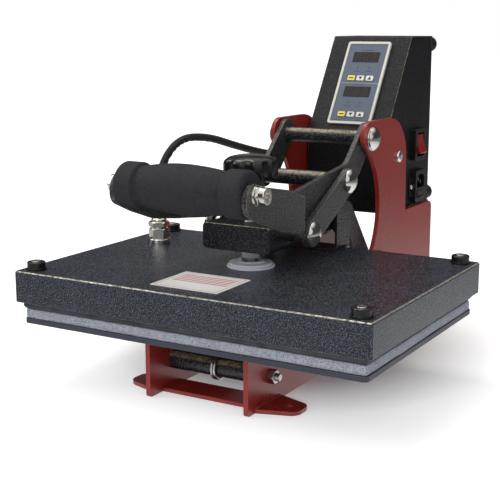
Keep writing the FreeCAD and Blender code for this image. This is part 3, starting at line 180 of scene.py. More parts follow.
# %% Turned shapes and swept sections
def turn_angles(count):
    """Evenly spaced angles once round, the last a step short of the first."""
    return np.linspace(0, 2 * math.pi, count, endpoint=False)


def unit(vector):
    """The same directions, each with a length of one."""
    return vector / np.linalg.norm(vector, axis=-1, keepdims=True)


def frame_for(axis):
    """Two directions square to an axis, and square to each other."""
    axis = unit(np.asarray(axis, float))
    side = unit(np.cross(axis, [0.0, 0.0, 1.0] if abs(axis[2]) < 0.9 else [1.0, 0.0, 0.0]))
    return axis, side, np.cross(axis, side)


def turned(profile, centre, axis=(0, 0, 1), around=64):
    """A profile of (radius, height) pairs spun about an axis: each point is the centre,
    plus its height along the axis, plus its radius in the direction of the angle."""
    radius, height = np.asarray(profile, float).T[:, :, None, None]
    axis, side, third = frame_for(axis)
    return np.asarray(centre) + height * axis + radius * round_about(turn_angles(around), side, third)


def running_sum(steps):
    """Nought, and then the sum of the steps so far."""
    return np.concatenate([[0.0], np.cumsum(steps)])


def line_frames(line):
    """Directions along a line of points, and two more square to it at each point.  A
    reference direction, the one the line runs least along, gives a first pair; how far
    that pair turns about the line from each point to the next is added up, and turning
    it back by the sum leaves a pair that doesn't twist."""
    along = unit(np.gradient(line, axis=0))
    reference = np.linalg.eigh(along.T @ along)[1][:, 0]
    side = unit(reference - along * (along @ reference)[:, None])
    third = np.cross(along, side)
    step = np.arctan2((third[:-1] * side[1:]).sum(1), (side[:-1] * side[1:]).sum(1))
    back = -running_sum(step)
    return along, round_about(back, side, third), round_about(back, third, -side)


def swept(line, radius, around=16):
    """Round section carried along a line: each ring is the line's point plus the radius
    times the cosine and sine of the two square directions.  The radius may be one
    number, one for each point, or one for each point and angle."""
    along, side, third = line_frames(line)
    radius = np.asarray(radius, float)
    radius = radius if radius.ndim == 2 else radius.reshape(-1, 1)
    return line[:, None] + radius[..., None] * round_about(turn_angles(around), side[:, None], third[:, None])


# %% [markdown]
# The heater cable.  It leaves a metal gland on the upper platen straight up, bows over
# to the rear and goes into a gland in the left side of the control box.  It's a limp
# lead in a black woven sleeve, held at both ends, with slack for the platen's travel.
# A curve object gives the smooth line, as a draughtsman's spline would, with the same
# few points that the solid model's route has; its points are then read back to carry a
# round section as a mesh.

# %% Heater cable
CABLE_DIAMETER = 0.009
CABLE_ROUTE = mm(
    (-154.0, -68.0, 138.0), (-154.5, -67.5, 174.0), (-153.5, -62.0, 209.0), (-145.0, -37.0, 236.0),
    (-134.5, 6.0, 234.0), (-126.0, 50.0, 220.5), (-121.0, 90.0, 210.0), (-119.0, 128.0, 202.0),
    (-119.0, 163.0, 202.0), (-90.0, 193.0, 205.0), (-46.0, 193.0, 205.0))


def spline_points(route, resolution=14):
    """Points along the NURBS line whose control points are the route."""
    curve = bpy.data.curves.new("route", "CURVE")
    curve.dimensions = "3D"
    spline = curve.splines.new("NURBS")
    spline.points.add(len(route) - 1)
    spline.points.foreach_set("co", np.hstack([route, np.ones((len(route), 1))]).ravel())
    spline.order_u = 3
    spline.use_endpoint_u = True
    spline.resolution_u = resolution
    carrier = bpy.data.objects.new("route", curve)
    line_mesh = bpy.data.meshes.new_from_object(carrier)
    line = np.empty(len(line_mesh.vertices) * 3)
    line_mesh.vertices.foreach_get("co", line)
    bpy.data.objects.remove(carrier)
    bpy.data.meshes.remove(line_mesh)
    return line.reshape(-1, 3)


def line_length(line):
    """Distance along a line: the sum of its steps, from nought at its start."""
    return running_sum(np.linalg.norm(np.diff(line, axis=0), axis=1))


cable_line = spline_points(CABLE_ROUTE)

# %% [markdown]
# A sleeve over a bent lead gathers into soft folds where it turns.  Each ring's radius
# gets a small ripple on the inside of the bend, fading out where the line runs
# straight, and it narrows where the gland squeezes it.  A map of length and turn round
# the lead is kept on the mesh, so that the weave can follow it.

# %% Cable sleeve with gathered folds
SLEEVE_AROUND, SLEEVE_STEP = 28, 0.0011
FOLD_DEPTH, FOLD_PITCH, SHARPEST_BEND = 0.00095, 0.0085, 22.0
SQUEEZE_DEPTH, SQUEEZE_END, SQUEEZE_FADE = 0.0004, 0.026, 0.010


def resample(line, step):
    """The same line with evenly spaced points, by straight interpolation."""
    length = line_length(line)
    even = np.linspace(0, length[-1], max(int(round(length[-1] / step)), 2) + 1)
    return np.stack([np.interp(even, length, line[:, k]) for k in range(3)], -1)


def gathered_radius(line, around, radius):
    """Radius at each point and angle: the plain radius, less a fold that comes and goes
    along the line once in each pitch, is strongest on the inside of the bend, and grows
    with how sharply the line turns there, and less the squeeze near the gland."""
    along, side, third = line_frames(line)
    bend = np.gradient(along, axis=0) / np.linalg.norm(np.gradient(line, axis=0), axis=1, keepdims=True)
    sharp = np.linalg.norm(bend, axis=1)
    inward = bend / np.maximum(sharp, 1e-9)[:, None]
    angle = turn_angles(around)
    facing = ((inward * side).sum(1)[:, None] * np.cos(angle)
              + (inward * third).sum(1)[:, None] * np.sin(angle))
    length = line_length(line)
    wander = 0.6 * np.sin(length * 61.0) + 0.4 * np.sin(length * 173.0 + 1.0)
    wave = 0.5 + 0.5 * np.sin(2 * math.pi * length / FOLD_PITCH + 2.0 * wander)
    depth = FOLD_DEPTH * np.clip(sharp / SHARPEST_BEND, 0.12, 1.0) * wave ** 2
    squeeze = SQUEEZE_DEPTH * np.clip((SQUEEZE_END - length) / SQUEEZE_FADE, 0, 1)
    return radius - squeeze[:, None] - depth[:, None] * np.clip(0.35 + 0.65 * facing, 0, 1)


def add_lengthwise_map(piece, rows, columns, length):
    """UV map of a swept piece: across is the turn round it, up is the distance along it
    in metres, and each corner of a face reads its own row and column."""
    mesh = piece.data
    loops = np.empty(len(mesh.loops), int)
    starts, totals = np.empty((2, len(mesh.polygons)), int)
    mesh.loops.foreach_get("vertex_index", loops)
    mesh.polygons.foreach_get("loop_start", starts)
    mesh.polygons.foreach_get("loop_total", totals)
    row, across = np.minimum(loops // columns, rows - 1), loops % columns / columns
    high = np.repeat(np.maximum.reduceat(across, starts), totals)
    across = across + ((high > 0.75) & (across < 0.25))
    layer = mesh.uv_layers.new(name="lengthwise")
    layer.data.foreach_set("uv", np.stack([across, length[row]], -1).astype(np.float32).ravel())


sleeve_line = resample(cable_line, SLEEVE_STEP)
sleeve_radius = gathered_radius(sleeve_line, SLEEVE_AROUND, CABLE_DIAMETER / 2)
sleeve = make_piece("heater_cable_sleeve", [skin(swept(sleeve_line, sleeve_radius, SLEEVE_AROUND))],
                    stands_for="heater_cable")
add_lengthwise_map(sleeve, len(sleeve_line), SLEEVE_AROUND, line_length(sleeve_line))
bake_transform(sleeve)

# %% [markdown]
# The foam grip.  It's a closed-cell foam sleeve pushed over the long bolt: a barrel
# that swells in the middle, a groove, and a flange with rounded rims at each end.  It
# could be sculpted, but a lathe profile gives its form in one formula; a few slow waves
# then take away the lathe's perfection, as a hand that squeezes it every day does.

# %% Foam grip
GRIP_CENTRE = mm(0.0, -242.2, 214.4)
GRIP_HALF, FLANGE, GROOVE, RIM_ROUND, WAVE_HEIGHT = 0.0697, 0.021, 0.003, 0.005, 0.00012
END_RADIUS, BELLY_RADIUS, NECK_RADIUS, BORE_RADIUS = 0.0225, 0.02375, 0.01925, 0.0061


def smooth_step(value):
    """From nought to one with a level start and a level end."""
    t = np.clip(value, 0, 1)
    return t * t * (3 - 2 * t)


def grip_radius(along):
    """Radius at a distance from the middle: the belly falls off with the square of the
    distance, rises through the groove to the flange, and the rim is a quarter circle."""
    far = np.abs(along)
    inner = GRIP_HALF - FLANGE - GROOVE
    belly = BELLY_RADIUS - (BELLY_RADIUS - NECK_RADIUS) * np.clip(far / inner, 0, 1) ** 2
    body = belly + (END_RADIUS - belly) * smooth_step((far - inner) / GROOVE)
    into_rim = np.clip(far - (GRIP_HALF - RIM_ROUND), 0, RIM_ROUND)
    return body - RIM_ROUND + np.sqrt(RIM_ROUND ** 2 - into_rim ** 2)


def grid_points(*parts):
    """One grid of points from coordinates that may each stay the same along a side."""
    return np.stack(np.broadcast_arrays(*parts), -1)


def foam_points(around=120):
    """The profile spun about the bolt, with slow waves that change with both distance
    and angle; the bore's line closes the profile."""
    straight = GRIP_HALF - RIM_ROUND
    rim = straight + RIM_ROUND * np.sin(np.linspace(0, math.pi / 2, 12))[1:]
    along = np.concatenate([-rim[::-1], np.linspace(-straight, straight, 150), rim])
    radius = grip_radius(along)
    face = np.linspace(radius[-1], BORE_RADIUS, 8)[1:]
    dish = GRIP_HALF - 0.0006 * np.sin(np.linspace(0, math.pi, 8))[1:]
    along = np.concatenate([along, dish, -dish[::-1]])[:, None]
    radius = np.concatenate([radius, face, face[::-1]])[:, None]
    angle = turn_angles(around)
    waves = (np.sin(along * 95 + 2 * angle) + np.sin(along * 41 - 3 * angle + 1.3)) * WAVE_HEIGHT
    radius = radius + (waves - 0.0002) * (radius > 0.015)
    return GRIP_CENTRE + grid_points(along, radius * np.cos(angle), radius * np.sin(angle))


foam = make_piece("foam_grip_sleeve", [skin(foam_points(), ring=True)], "lever", "foam_grip")

# %% [markdown]
# The heat pad and the blanket.  A sheet of soft silicone sponge lies on the lower
# platen, and a mat of glass fibre lies on the element inside the cover.  Both are slabs
# whose edges were cut by hand: the outline is a rectangle with round corners, and the
# edge is a short profile carried round it.  The sponge bulges a little at its edge and
# its top sinks towards the rim; the mat's corners are cut away round the corner screws.

# %% Slabs: pad, blanket and card
PLATEN_CENTRE = mm(0.0, -124.0, 0.0)
PAD_HALF, PAD_CORNER, PAD_LEVELS, PAD_WAVE = (0.1904, 0.1304), 0.004, (0.0694, 0.0794), 0.00025
BLANKET_HALF, BLANKET_CORNER, BLANKET_LEVELS, BLANKET_WAVE = (0.1893, 0.1303), 0.048, (0.0979, 0.1076), 0.0004


def rounded_outline(half_x, half_y, radius, per_corner=8, per_side=40):
    """Points round a rectangle: each corner is an arc about its own centre, and each
    side between two arcs is divided evenly."""
    quarter = np.linspace(0, math.pi / 2, per_corner)
    arcs = [np.stack([sx * (half_x - radius) + radius * np.cos(quarter + k * math.pi / 2),
                      sy * (half_y - radius) + radius * np.sin(quarter + k * math.pi / 2)], -1)
            for k, (sx, sy) in enumerate(((1, 1), (-1, 1), (-1, -1), (1, -1)))]
    share = np.linspace(0, 1, per_side + 2)[1:-1, None]
    sides = [arcs[k][-1] * (1 - share) + arcs[(k + 1) % 4][0] * share for k in range(4)]
    return np.vstack([line for pair in zip(arcs, sides) for line in pair])


def slab(half_x, half_y, radius, profile, centre, wave=0.0, per_side=40):
    """Rings of the outline: each ring is the outline times a share, moved in by an
    inset, at a height.  The wave moves the rings near the edge in and out by a slow
    sine of the distance round them."""
    outline = rounded_outline(half_x, half_y, radius, per_side=per_side)
    share, inset, height = np.asarray(profile, float).T[:, :, None]
    turn = turn_angles(len(outline))
    inset = inset + wave * (np.sin(9 * turn) + 0.6 * np.sin(23 * turn + 1.0)) * (share > 0.9)
    x, y = (outline[:, k] * share * (1 - inset / half) for k, half in enumerate((half_x, half_y)))
    return skin(np.asarray(centre) + grid_points(x, y, height), flip=True)


def edge_profile(low, high, round_off, bulge, crown, around_edge=13):
    """From the middle of the top, out over a crown that sinks to the rim, down a round
    and slightly bulging edge, and back under to the middle."""
    shares = np.array([0.03, 0.2, 0.4, 0.6, 0.75, 0.87, 0.95])
    top = np.stack([shares, 0 * shares, high - crown * shares ** 6], -1)
    angle = np.linspace(math.pi / 2, -math.pi / 2, around_edge)
    drop = high - crown
    middle, half = (drop + low) / 2, (drop - low) / 2
    side_height = middle + half * np.sign(np.sin(angle)) * np.abs(np.sin(angle)) ** 0.55
    side_inset = round_off * (1 - np.abs(np.cos(angle)) ** 0.55) - bulge * np.cos(angle) ** 2
    side = np.stack([np.ones(around_edge), side_inset, side_height], -1)
    under = np.stack([shares[::-1], 0 * shares, low + 0 * shares], -1)
    return np.vstack([top, side, under])


pad_edge = edge_profile(*PAD_LEVELS, round_off=0.0012, bulge=0.0004, crown=0.0003)
pad = make_piece("silicone_sponge_pad", [slab(*PAD_HALF, PAD_CORNER, pad_edge, PLATEN_CENTRE, PAD_WAVE)],
                 "frame", "silicone_pad")
blanket_edge = edge_profile(*BLANKET_LEVELS, round_off=0.002, bulge=0.0003, crown=0.0008)
blanket = make_piece("glass_fibre_blanket",
                     [slab(*BLANKET_HALF, BLANKET_CORNER, blanket_edge, PLATEN_CENTRE, BLANKET_WAVE)],
                     "platen", "insulation")

# %% [markdown]
# A card is stuck on top of the cover, near its front edge.  It's bare of words: only a
# frame and ruled lines in red, as on a blank form.  The sheet is a slab a quarter of a
# millimetre thick, and its ruling is a pattern in its finish.

# %% Blank ruled card
CARD_CENTRE, CARD_HALF, CARD_CORNER = mm(-6.0, -209.5, 0.0), mm(38.0, 31.5), 0.0015
COVER_TOP, CARD_TOP = 0.1192, 0.11945
CARD_PROFILE = [[0.03, 0, CARD_TOP], [0.96, 0, CARD_TOP], [1, 0.0001, CARD_TOP - 0.00002],
                [1, 0, COVER_TOP], [0.96, 0, COVER_TOP], [0.03, 0, COVER_TOP]]
make_piece("blank_ruled_card", [slab(*CARD_HALF, CARD_CORNER, CARD_PROFILE, CARD_CENTRE, per_side=12)],
           "platen", sharp_over=30)

# %% [markdown]
# The lift spring.  An extension spring under the lower platen pulls the tail of the arm
# forward and helps to lift the hot platen.  Hard drawn wire is wound close, its coil
# narrows at each end, and a double hook holds the front tie bar and the pin at the rear.
# A helix is a line with one turn in each pitch; the round wire is swept along it.

# %% Lift spring
SPRING_FRONT, SPRING_REAR = mm(0.0, -187.0, 29.0), mm(0.0, 60.0, 52.0)
WIRE_RADIUS, WIRE_GAP, COIL_RADIUS, SPRING_TAPER = 0.0015, 0.0002, 0.0095, 0.010
FRONT_HOOK, REAR_HOOK, FRONT_NECK, REAR_NECK = 0.0119, 0.0059, 0.0056, 0.0040
COIL_FROM_FRONT, COIL_FROM_REAR, BENDING_END = 0.0108, 0.0050, 0.060
ACROSS = np.array([1.0, 0.0, 0.0])


def helix(start, end, turns, radius_at, steps_per_turn=22):
    """Line round an axis: the share t of the way gives the point on the axis, and the
    angle, which is t times all the turns, gives the direction of the radius there."""
    t = np.linspace(0, 1, int(turns * steps_per_turn))
    axis, side, third = frame_for(end - start)
    ring = round_about(2 * math.pi * turns * t, side, third)
    return start + t[:, None] * (end - start) + radius_at(t)[:, None] * ring


def hook_ring(centre, radius, count=60, around=12):
    """Wire bent to a closed circle about the X axis: outward from the circle's middle
    is one direction of its section, and the X axis is the other."""
    angle = turn_angles(count)
    outward = np.stack([0 * angle, np.cos(angle), np.sin(angle)], -1)
    section = round_about(turn_angles(around), outward[:, None], ACROSS)
    return skin((centre + radius * outward)[:, None] + WIRE_RADIUS * section, ring=True, flip=True)


def spring_radius(share, length):
    """Coil radius along the spring: full in the middle, and narrower over the taper at
    each end, down to the foot of the hook."""
    ends = ((FRONT_NECK, share * length), (REAR_NECK, length - share * length))
    front, rear = (neck + (COIL_RADIUS - neck) * smooth_step(along / SPRING_TAPER) for neck, along in ends)
    return np.minimum(front, rear)


spring_axis = unit(SPRING_REAR - SPRING_FRONT)
coil_start = SPRING_FRONT + spring_axis * COIL_FROM_FRONT
coil_end = SPRING_REAR - spring_axis * COIL_FROM_REAR
coil_length = np.linalg.norm(coil_end - coil_start)
coil_turns = coil_length / (2 * WIRE_RADIUS + WIRE_GAP)
coil_line = helix(coil_start, coil_end, coil_turns, lambda t: spring_radius(t, coil_length))
hooks = [hook_ring(centre + ACROSS * shift, radius)
         for centre, radius in ((SPRING_FRONT, FRONT_HOOK), (SPRING_REAR, REAR_HOOK))
         for shift in (-WIRE_RADIUS - WIRE_GAP / 2, WIRE_RADIUS + WIRE_GAP / 2)]
spring = make_piece("lift_spring_coil", [skin(swept(coil_line, WIRE_RADIUS, 8))] + hooks,
                    stands_for="lift_spring")
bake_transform(spring)
print("spring: %.0f turns" % coil_turns)

# %% [markdown]
# The pressure spindle and its knob.  Turning the star knob screws the spindle through
# the arm and sets how hard the platens close.  A thread is a cylinder whose radius
# depends on height and angle together: going once round is the same as going up one
# pitch.  The knob's outline is a circle with eight scallops; the closer a ring lies to
# the middle of the dome, the weaker its scallops are.

# %% Threaded spindle and star knob
SPINDLE_FOOT, SPINDLE_TOP, SPINDLE_RADIUS, SPINDLE_PLAIN = 0.1204, 0.2260, 0.0080, 0.006
THREAD_PITCH, THREAD_DEPTH = 0.0025, 0.0009
KNOB_RADIUS, KNOB_HIGH, LOBES = 0.028, 0.228, 8
NOTCH_RADIUS, NOTCH_OUT, NOTCH_LIP = 0.008, 0.0050, 0.0009


def around_z(radius, angle, height):
    """Grid of points about the Z axis from their radius, angle and height."""
    return grid_points(radius * np.cos(angle), radius * np.sin(angle), height)


def thread_points(low, high, radius, pitch, depth, plain, around=48, per_pitch=10, chamfer=0.0):
    """Grid of heights and angles.  The thread's phase is the height over the pitch less
    the share of a turn; the radius is full on the crest, less the depth in the root,
    plain near both ends, and drawn in by a cone at the top."""
    height = np.linspace(low, high, int((high - low) / pitch * per_pitch))[:, None]
    angle = turn_angles(around)
    phase = (height / pitch - angle / (2 * math.pi)) % 1.0
    flank = np.clip(np.abs(phase - 0.5) * 3.0 - 0.25, 0, 1)
    inside = smooth_step((height - low) / plain) * smooth_step((high - height) / plain)
    r = radius - depth * (1 - flank) * inside
    r = np.minimum(r, radius - np.clip(height - (high - chamfer), 0, None))
    return around_z(r, angle, height)


def star_outline(angle):
    """Distance from the middle to the rim: the full radius on a lobe, less the reach of
    a round notch centred a little outside the rim, with soft lips."""
    reach = KNOB_RADIUS + NOTCH_OUT
    off = ((angle * LOBES / (2 * math.pi)) % 1.0 - 0.5) * 2 * math.pi / LOBES
    inside = np.clip(NOTCH_RADIUS ** 2 - (reach * np.sin(off)) ** 2, 0, None)
    cut = np.where(inside > 0, reach * np.cos(off) - np.sqrt(inside), KNOB_RADIUS + 0.002)
    return -NOTCH_LIP * np.log(np.exp(-cut / NOTCH_LIP) + np.exp(-KNOB_RADIUS / NOTCH_LIP))


# Each row: share of the rim's radius, share of the star outline, height in millimetres.
KNOB_ROWS = [
    (0.04, 0, 7.00), (0.25, 0, 6.8), (0.45, 0, 6.2), (0.6, 0.02, 5.45), (0.7, 0.06, 4.8), (0.78, 0.15, 4.1),
    (0.85, 0.32, 3.3), (0.9, 0.5, 2.5), (0.94, 0.68, 1.6), (0.972, 0.85, 0.4), (0.99, 0.95, -1.0),
    (1.0, 1, -2.6), (1.0, 1, -8), (1.0, 1, -14.2), (0.985, 1, -15.4), (0.95, 1, -16.0), (0.8, 0.8, -16.0),
    (0.6, 0.3, -16.0), (0.47, 0, -16.0), (0.464, 0, -16.6), (0.464, 0, -19.4), (0.45, 0, -20.0),
    (0.29, 0, -20.0), (0.29, 0, -10.0), (0.29, 0, -1.8)]


def knob_points(around=320):
    """Profile from the top of the dome over the rim, down the side, under the disc to
    the hub and up the bore.  Each ring's radius is its share of the rim times a mix of
    the star outline and a plain circle."""
    share, star, height = np.array(KNOB_ROWS).T[:, :, None]
    angle = turn_angles(around)
    radius = share * (KNOB_RADIUS + star * (star_outline(angle) - KNOB_RADIUS))
    return around_z(radius, angle, KNOB_HIGH + height / 1000.0)


make_piece("threaded_spindle", [skin(PLATEN_CENTRE + thread_points(
    SPINDLE_FOOT, SPINDLE_TOP, SPINDLE_RADIUS, THREAD_PITCH, THREAD_DEPTH, SPINDLE_PLAIN))],
    "knob", "threaded_rod")
make_piece("star_knob", [skin(PLATEN_CENTRE + knob_points(), flip=True)],
           "knob", "pressure_knob", sharp_over=50)

# %% [markdown]
# The swivel under the spindle.  Two turned discs with a groove between them let the
# platen lie level while the spindle turns.  It's a profile of rounded steps, spun about
# the spindle's axis: from the bore over the boss, out to each rim and under again.

# %% Swivel discs
SWIVEL_PROFILE = mm(
    (1.0, 120.35), (8.1, 120.35), (8.1, 125.5), (8.6, 126.0), (13.4, 126.0), (14.2, 125.6), (14.5, 124.9),
    (15.0, 124.6), (21.2, 124.4), (22.2, 124.1), (22.7, 123.5), (22.6, 122.8), (22.0, 122.3), (22.0, 121.9),
    (23.6, 121.7), (24.6, 121.3), (25.0, 120.6), (24.9, 119.8), (24.4, 119.2), (1.0, 119.2))
make_piece("swivel_discs", [skin(turned(SWIVEL_PROFILE, PLATEN_CENTRE, around=128), flip=True)],
           "platen", "swivel_flange", sharp_over=50)

# %% [markdown]
# Marks on the display panel and the keys.  The film round the keys is printed with thin
# rules, dots for the indicator lamps and plain bars where a maker would put words, and
# the arrow keys carry arrow heads.  Behind each dark window stand three figures of
# seven strokes, all unlit.  Each mark is a flat outline given a tenth of a millimetre
# of thickness, laid on the panel's slope, so it stays sharp at any distance.

# %% Printed marks on the slope
SLOPE_FOOT = mm(0.0, 100.0, 237.0)
SLOPE_UP = unit(mm(0.0, 69.4, 111.0))
SLOPE_OUT = np.array([0.0, -SLOPE_UP[2], SLOPE_UP[1]])
FACE_OUT, WINDOW_OUT, KEY_OUT, SUNK = 2.4, 2.6, 3.4, 0.05


def on_slope(across, up, out):
    """Place on the panel, in millimetres across, up the slope and out of the face."""
    across, up, out = (np.asarray(v, float)[..., None] / 1000.0 for v in (across, up, out))
    return SLOPE_FOOT + across * ACROSS + up * SLOPE_UP + out * SLOPE_OUT


def flat_mark(outline, low, high):
    """A flat outline, given anticlockwise, raised into a thin prism: its two caps and a
    wall between each pair of neighbouring corners."""
    outline = np.asarray(outline, float)
    count = len(outline)
    points = np.vstack([on_slope(outline[:, 0], outline[:, 1], np.full(count, z)) for z in (low, high)])
    j = np.arange(count)
    wall = np.stack([j, (j + 1) % count, (j + 1) % count + count, j + count], -1)
    return points, [wall, np.array([j + count]), np.array([j[::-1]])]


def bar(x0, x1, y0, y1):
    """Corners of an upright rectangle."""
    return [(x0, y0), (x1, y0), (x1, y1), (x0, y1)]


def dot(x, y, radius, corners=20):
    """Corners of a small disc."""
    angle = turn_angles(corners)
    return np.stack([x + radius * np.cos(angle), y + radius * np.sin(angle)], -1)


def figure_strokes(x, y, width=5.2, height=8.6, thick=1.0, lean=0.1, gap=0.35):
    """Seven strokes of one figure, leaning to the right: three level ones and four
    upright ones, each a thin six-sided bar."""
    w, h, t = width / 2, height / 2, thick / 2
    middles = [(0, -h), (0, 0), (0, h), (-w, -h / 2), (w, -h / 2), (-w, h / 2), (w, h / 2)]
    long, tall = w - gap, h / 2 - gap
    shapes = [[(-long, 0), (-long + t, -t), (long - t, -t), (long, 0), (long - t, t), (-long + t, t)]] * 3
    shapes += [[(0, -tall), (t, -tall + t), (t, tall - t), (0, tall), (-t, tall - t), (-t, -tall + t)]] * 4
    return [[(x + cx + px + lean * (cy + py), y + cy + py) for px, py in shape]
            for (cx, cy), shape in zip(middles, shapes)]


def make_marks(name, outlines, out, body, thickness=0.06):
    """One piece from many flat marks at the same level."""
    make_piece(name, [flat_mark(shape, out - SUNK, out + thickness) for shape in outlines], body,
               sharp_over=0)


dark_marks, lamps, figures = [], [], []
for base in (53.5, 100.5):
    dark_marks += [bar(-8.0, 8.0, base + 9.0, base + 9.8), bar(-11.5, -3.5, base - 19.6, base - 18.9),
                   bar(4.0, 11.0, base - 19.6, base - 18.9)]
    lamps += [dot(x, base - 14.5, 0.75) for x in (-7.7, 7.7)]
    figures += [stroke for x in (-10.0, 0.0, 10.0) for stroke in figure_strokes(x, base)]
dark_marks += [bar(-20.0, -9.0, 15.2, 15.8), bar(8.0, 16.0, 15.2, 15.8)]
make_marks("panel_pale_rules", [bar(-23.5, 23.5, 64.8, 65.2)], FACE_OUT, "frame")
make_marks("panel_dark_bars", dark_marks, FACE_OUT, "frame")
make_marks("panel_lamps", lamps, FACE_OUT, "frame", 0.3)
make_marks("unlit_figures", figures, WINDOW_OUT, "frame", 0.03)

# %% [markdown]
# The keys move, so each key's mark is a piece of its own that rides on its key.  Three
# shapes are written once, as functions of how far up the slope the row of keys lies.

# %% Marks on the keys
KEY_ROWS = {"lower": 23.0, "upper": 71.6}
KEY_MARKS = {
    "set": lambda y: bar(-15.0, -9.0, y - 0.7, y + 0.7),
    "down": lambda y: [(0.0, y - 2.2), (2.5, y + 1.9), (-2.5, y + 1.9)],
    "up": lambda y: [(12.0, y + 2.2), (9.5, y - 1.9), (14.5, y - 1.9)],
}
for row, up in KEY_ROWS.items():
    for key, shape in KEY_MARKS.items():
        make_marks("%s_key_mark_%s" % (key, row), [shape(up)], KEY_OUT, "%s_button_%s" % (key, row))

# %% [markdown]
# Screw heads.  The pan heads that hold the box to the tower are pressed steel with a
# cross recess.  A head is a turned cap; the cross is cut in by lowering each point of
# the cap that lies near one of two lines through its middle.  The same formula makes
# the small screws of the inlet and the back cover at their own size.

# %% Cross-recess screw heads
BOX_HALF, PLATE_OUT, PLATE_IN, BACK_Y = 0.051, 0.0587, 0.0537, 0.235
SCREW_Y, SCREW_Z, INLET_Y, INLET_Z = 0.1188, 0.2106, 0.1945, 0.1665
COVER_SCREW_X, COVER_SCREW_LEVELS = BOX_HALF - 0.009, (0.1835, 0.303)
SLOT_HALF, SLOT_REACH = 0.15, 0.62


def cross_head(spot, axis, radius, height, rings=18, around=64):
    """Grid of distance from the middle and angle.  The cap's height follows the square
    root of one less the distance to the power 2.6, down to a short skirt; inside the
    cross it's lowered by a recess that fades out at the ends and sides of each slot."""
    reach = np.concatenate([np.linspace(0.03, 1, rings), [1.0, 1.0]])[:, None]
    angle = turn_angles(around)
    u, v = reach * np.cos(angle), reach * np.sin(angle)
    slots = [smooth_step((SLOT_HALF - np.abs(a)) / 0.06) * smooth_step((SLOT_REACH - np.abs(b)) / 0.12)
             for a, b in ((u, v), (v, u))]
    top = height * (0.3 + 0.7 * np.sqrt(np.clip(1 - reach ** 2.6, 0, 1))) - 0.45 * height * np.maximum(*slots)
    top[-1] = 0.0
    axis, side, third = frame_for(axis)
    points = np.asarray(spot) + radius * (u[..., None] * side + v[..., None] * third) + top[..., None] * axis
    return skin(points, flip=True)


def plain_rod(start, end, radius, around=24):
    """A straight round bar between two points, with closed ends."""
    return skin(swept(np.linspace(start, end, 3), radius, around))


screw_parts = []
for side in (-1, 1):
    outward = np.array([side, 0, 0])
    seat = np.array([side * PLATE_OUT, SCREW_Y, SCREW_Z])
    washer = [(0.0031, 0), (0.007, 0), (0.007, PLATE_IN - BOX_HALF), (0.0031, PLATE_IN - BOX_HALF)]
    ear = np.array([BOX_HALF + 0.002, INLET_Y + side * 0.020, INLET_Z])
    screw_parts += [
        cross_head(seat, outward, radius=0.007, height=0.004, rings=30, around=96),
        plain_rod(seat, seat - outward * 0.0137, radius=0.003),
        skin(turned(washer, (side * BOX_HALF, SCREW_Y, SCREW_Z), outward, 40), ring=True),
        cross_head(ear, ACROSS, radius=0.0028, height=0.0018),
        plain_rod(ear, ear - ACROSS * 0.006, radius=0.0015)]
    screw_parts += [cross_head((side * COVER_SCREW_X, BACK_Y, level), (0, 1, 0), radius=0.0038, height=0.0022)
                    for level in COVER_SCREW_LEVELS]
make_piece("cross_head_screws", screw_parts, "frame", "box_screws", sharp_over=40)

# %% [markdown]
# Weld beads.  The foot strips are welded to the side plates, and the fins to the arm.
# A bead is a half-round run of metal with a ripple for each small step that the torch
# took.  It's a section swept along the joint whose radius rises and falls with length.

# %% Weld beads
BEAD_RADIUS, BEAD_RIPPLE = 0.0016, 0.0024
FOOT_Y, FOOT_Z, FOOT_WELD_HALF = 0.1915, 0.004, 0.024
FIN_X, FIN_Z, FIN_FROM, FIN_TO = 0.0395, 0.1665, -0.012, 0.0165


def weld_bead(x, y_from, y_to, z, around=12):
    """Section along a straight joint: the radius swells once in each ripple, wanders a
    little from bead to bead, and draws in to a blunt end."""
    length = y_to - y_from
    line = np.linspace((x, y_from, z), (x, y_to, z), max(int(length / 0.0003), 20))
    along = np.linspace(0, length, len(line))
    swell = 1 + 0.14 * np.abs(np.sin(math.pi * along / BEAD_RIPPLE)) + 0.06 * np.sin(along * 310)
    ends = np.sqrt(np.clip(np.minimum(along, length - along) / 0.002, 0.02, 1))
    return skin(swept(line, BEAD_RADIUS * swell * ends, around))


make_piece("foot_weld_beads", [
    weld_bead(side * PLATE_OUT, end * FOOT_Y - FOOT_WELD_HALF, end * FOOT_Y + FOOT_WELD_HALF, FOOT_Z)
    for side in (-1, 1) for end in (-1, 1)], "frame")
make_piece("fin_weld_beads", [weld_bead(side * FIN_X, FIN_FROM, FIN_TO, FIN_Z) for side in (-1, 1)],
           "arm")

# %% [markdown]
# Tie rods and seals.  Two threaded rods draw the side plates together, with a nut
# outside each plate.  The thread is the spindle's formula at a finer pitch.  A nut is a
# turned ring whose radius is the smaller of two: the hexagon's at that angle, and a
# cone's at that height.

# %% Tie rods with nuts
TIE_Y, TIE_Z, TIE_END, TIE_RADIUS, NUT_FLATS, NUT_HIGH = 0.187, 0.029, 0.0697, 0.004, 0.013, 0.0065
ROD_REACH, ROD_CORE = 0.056, 0.0038


def along_x(points, side, centre):
    """Points made about the Z axis, laid along X: height goes outwards on the given
    side, and the section keeps its sense so that faces still point outward."""
    return np.asarray(centre) + np.stack([side * points[..., 2], points[..., 1], -side * points[..., 0]], -1)


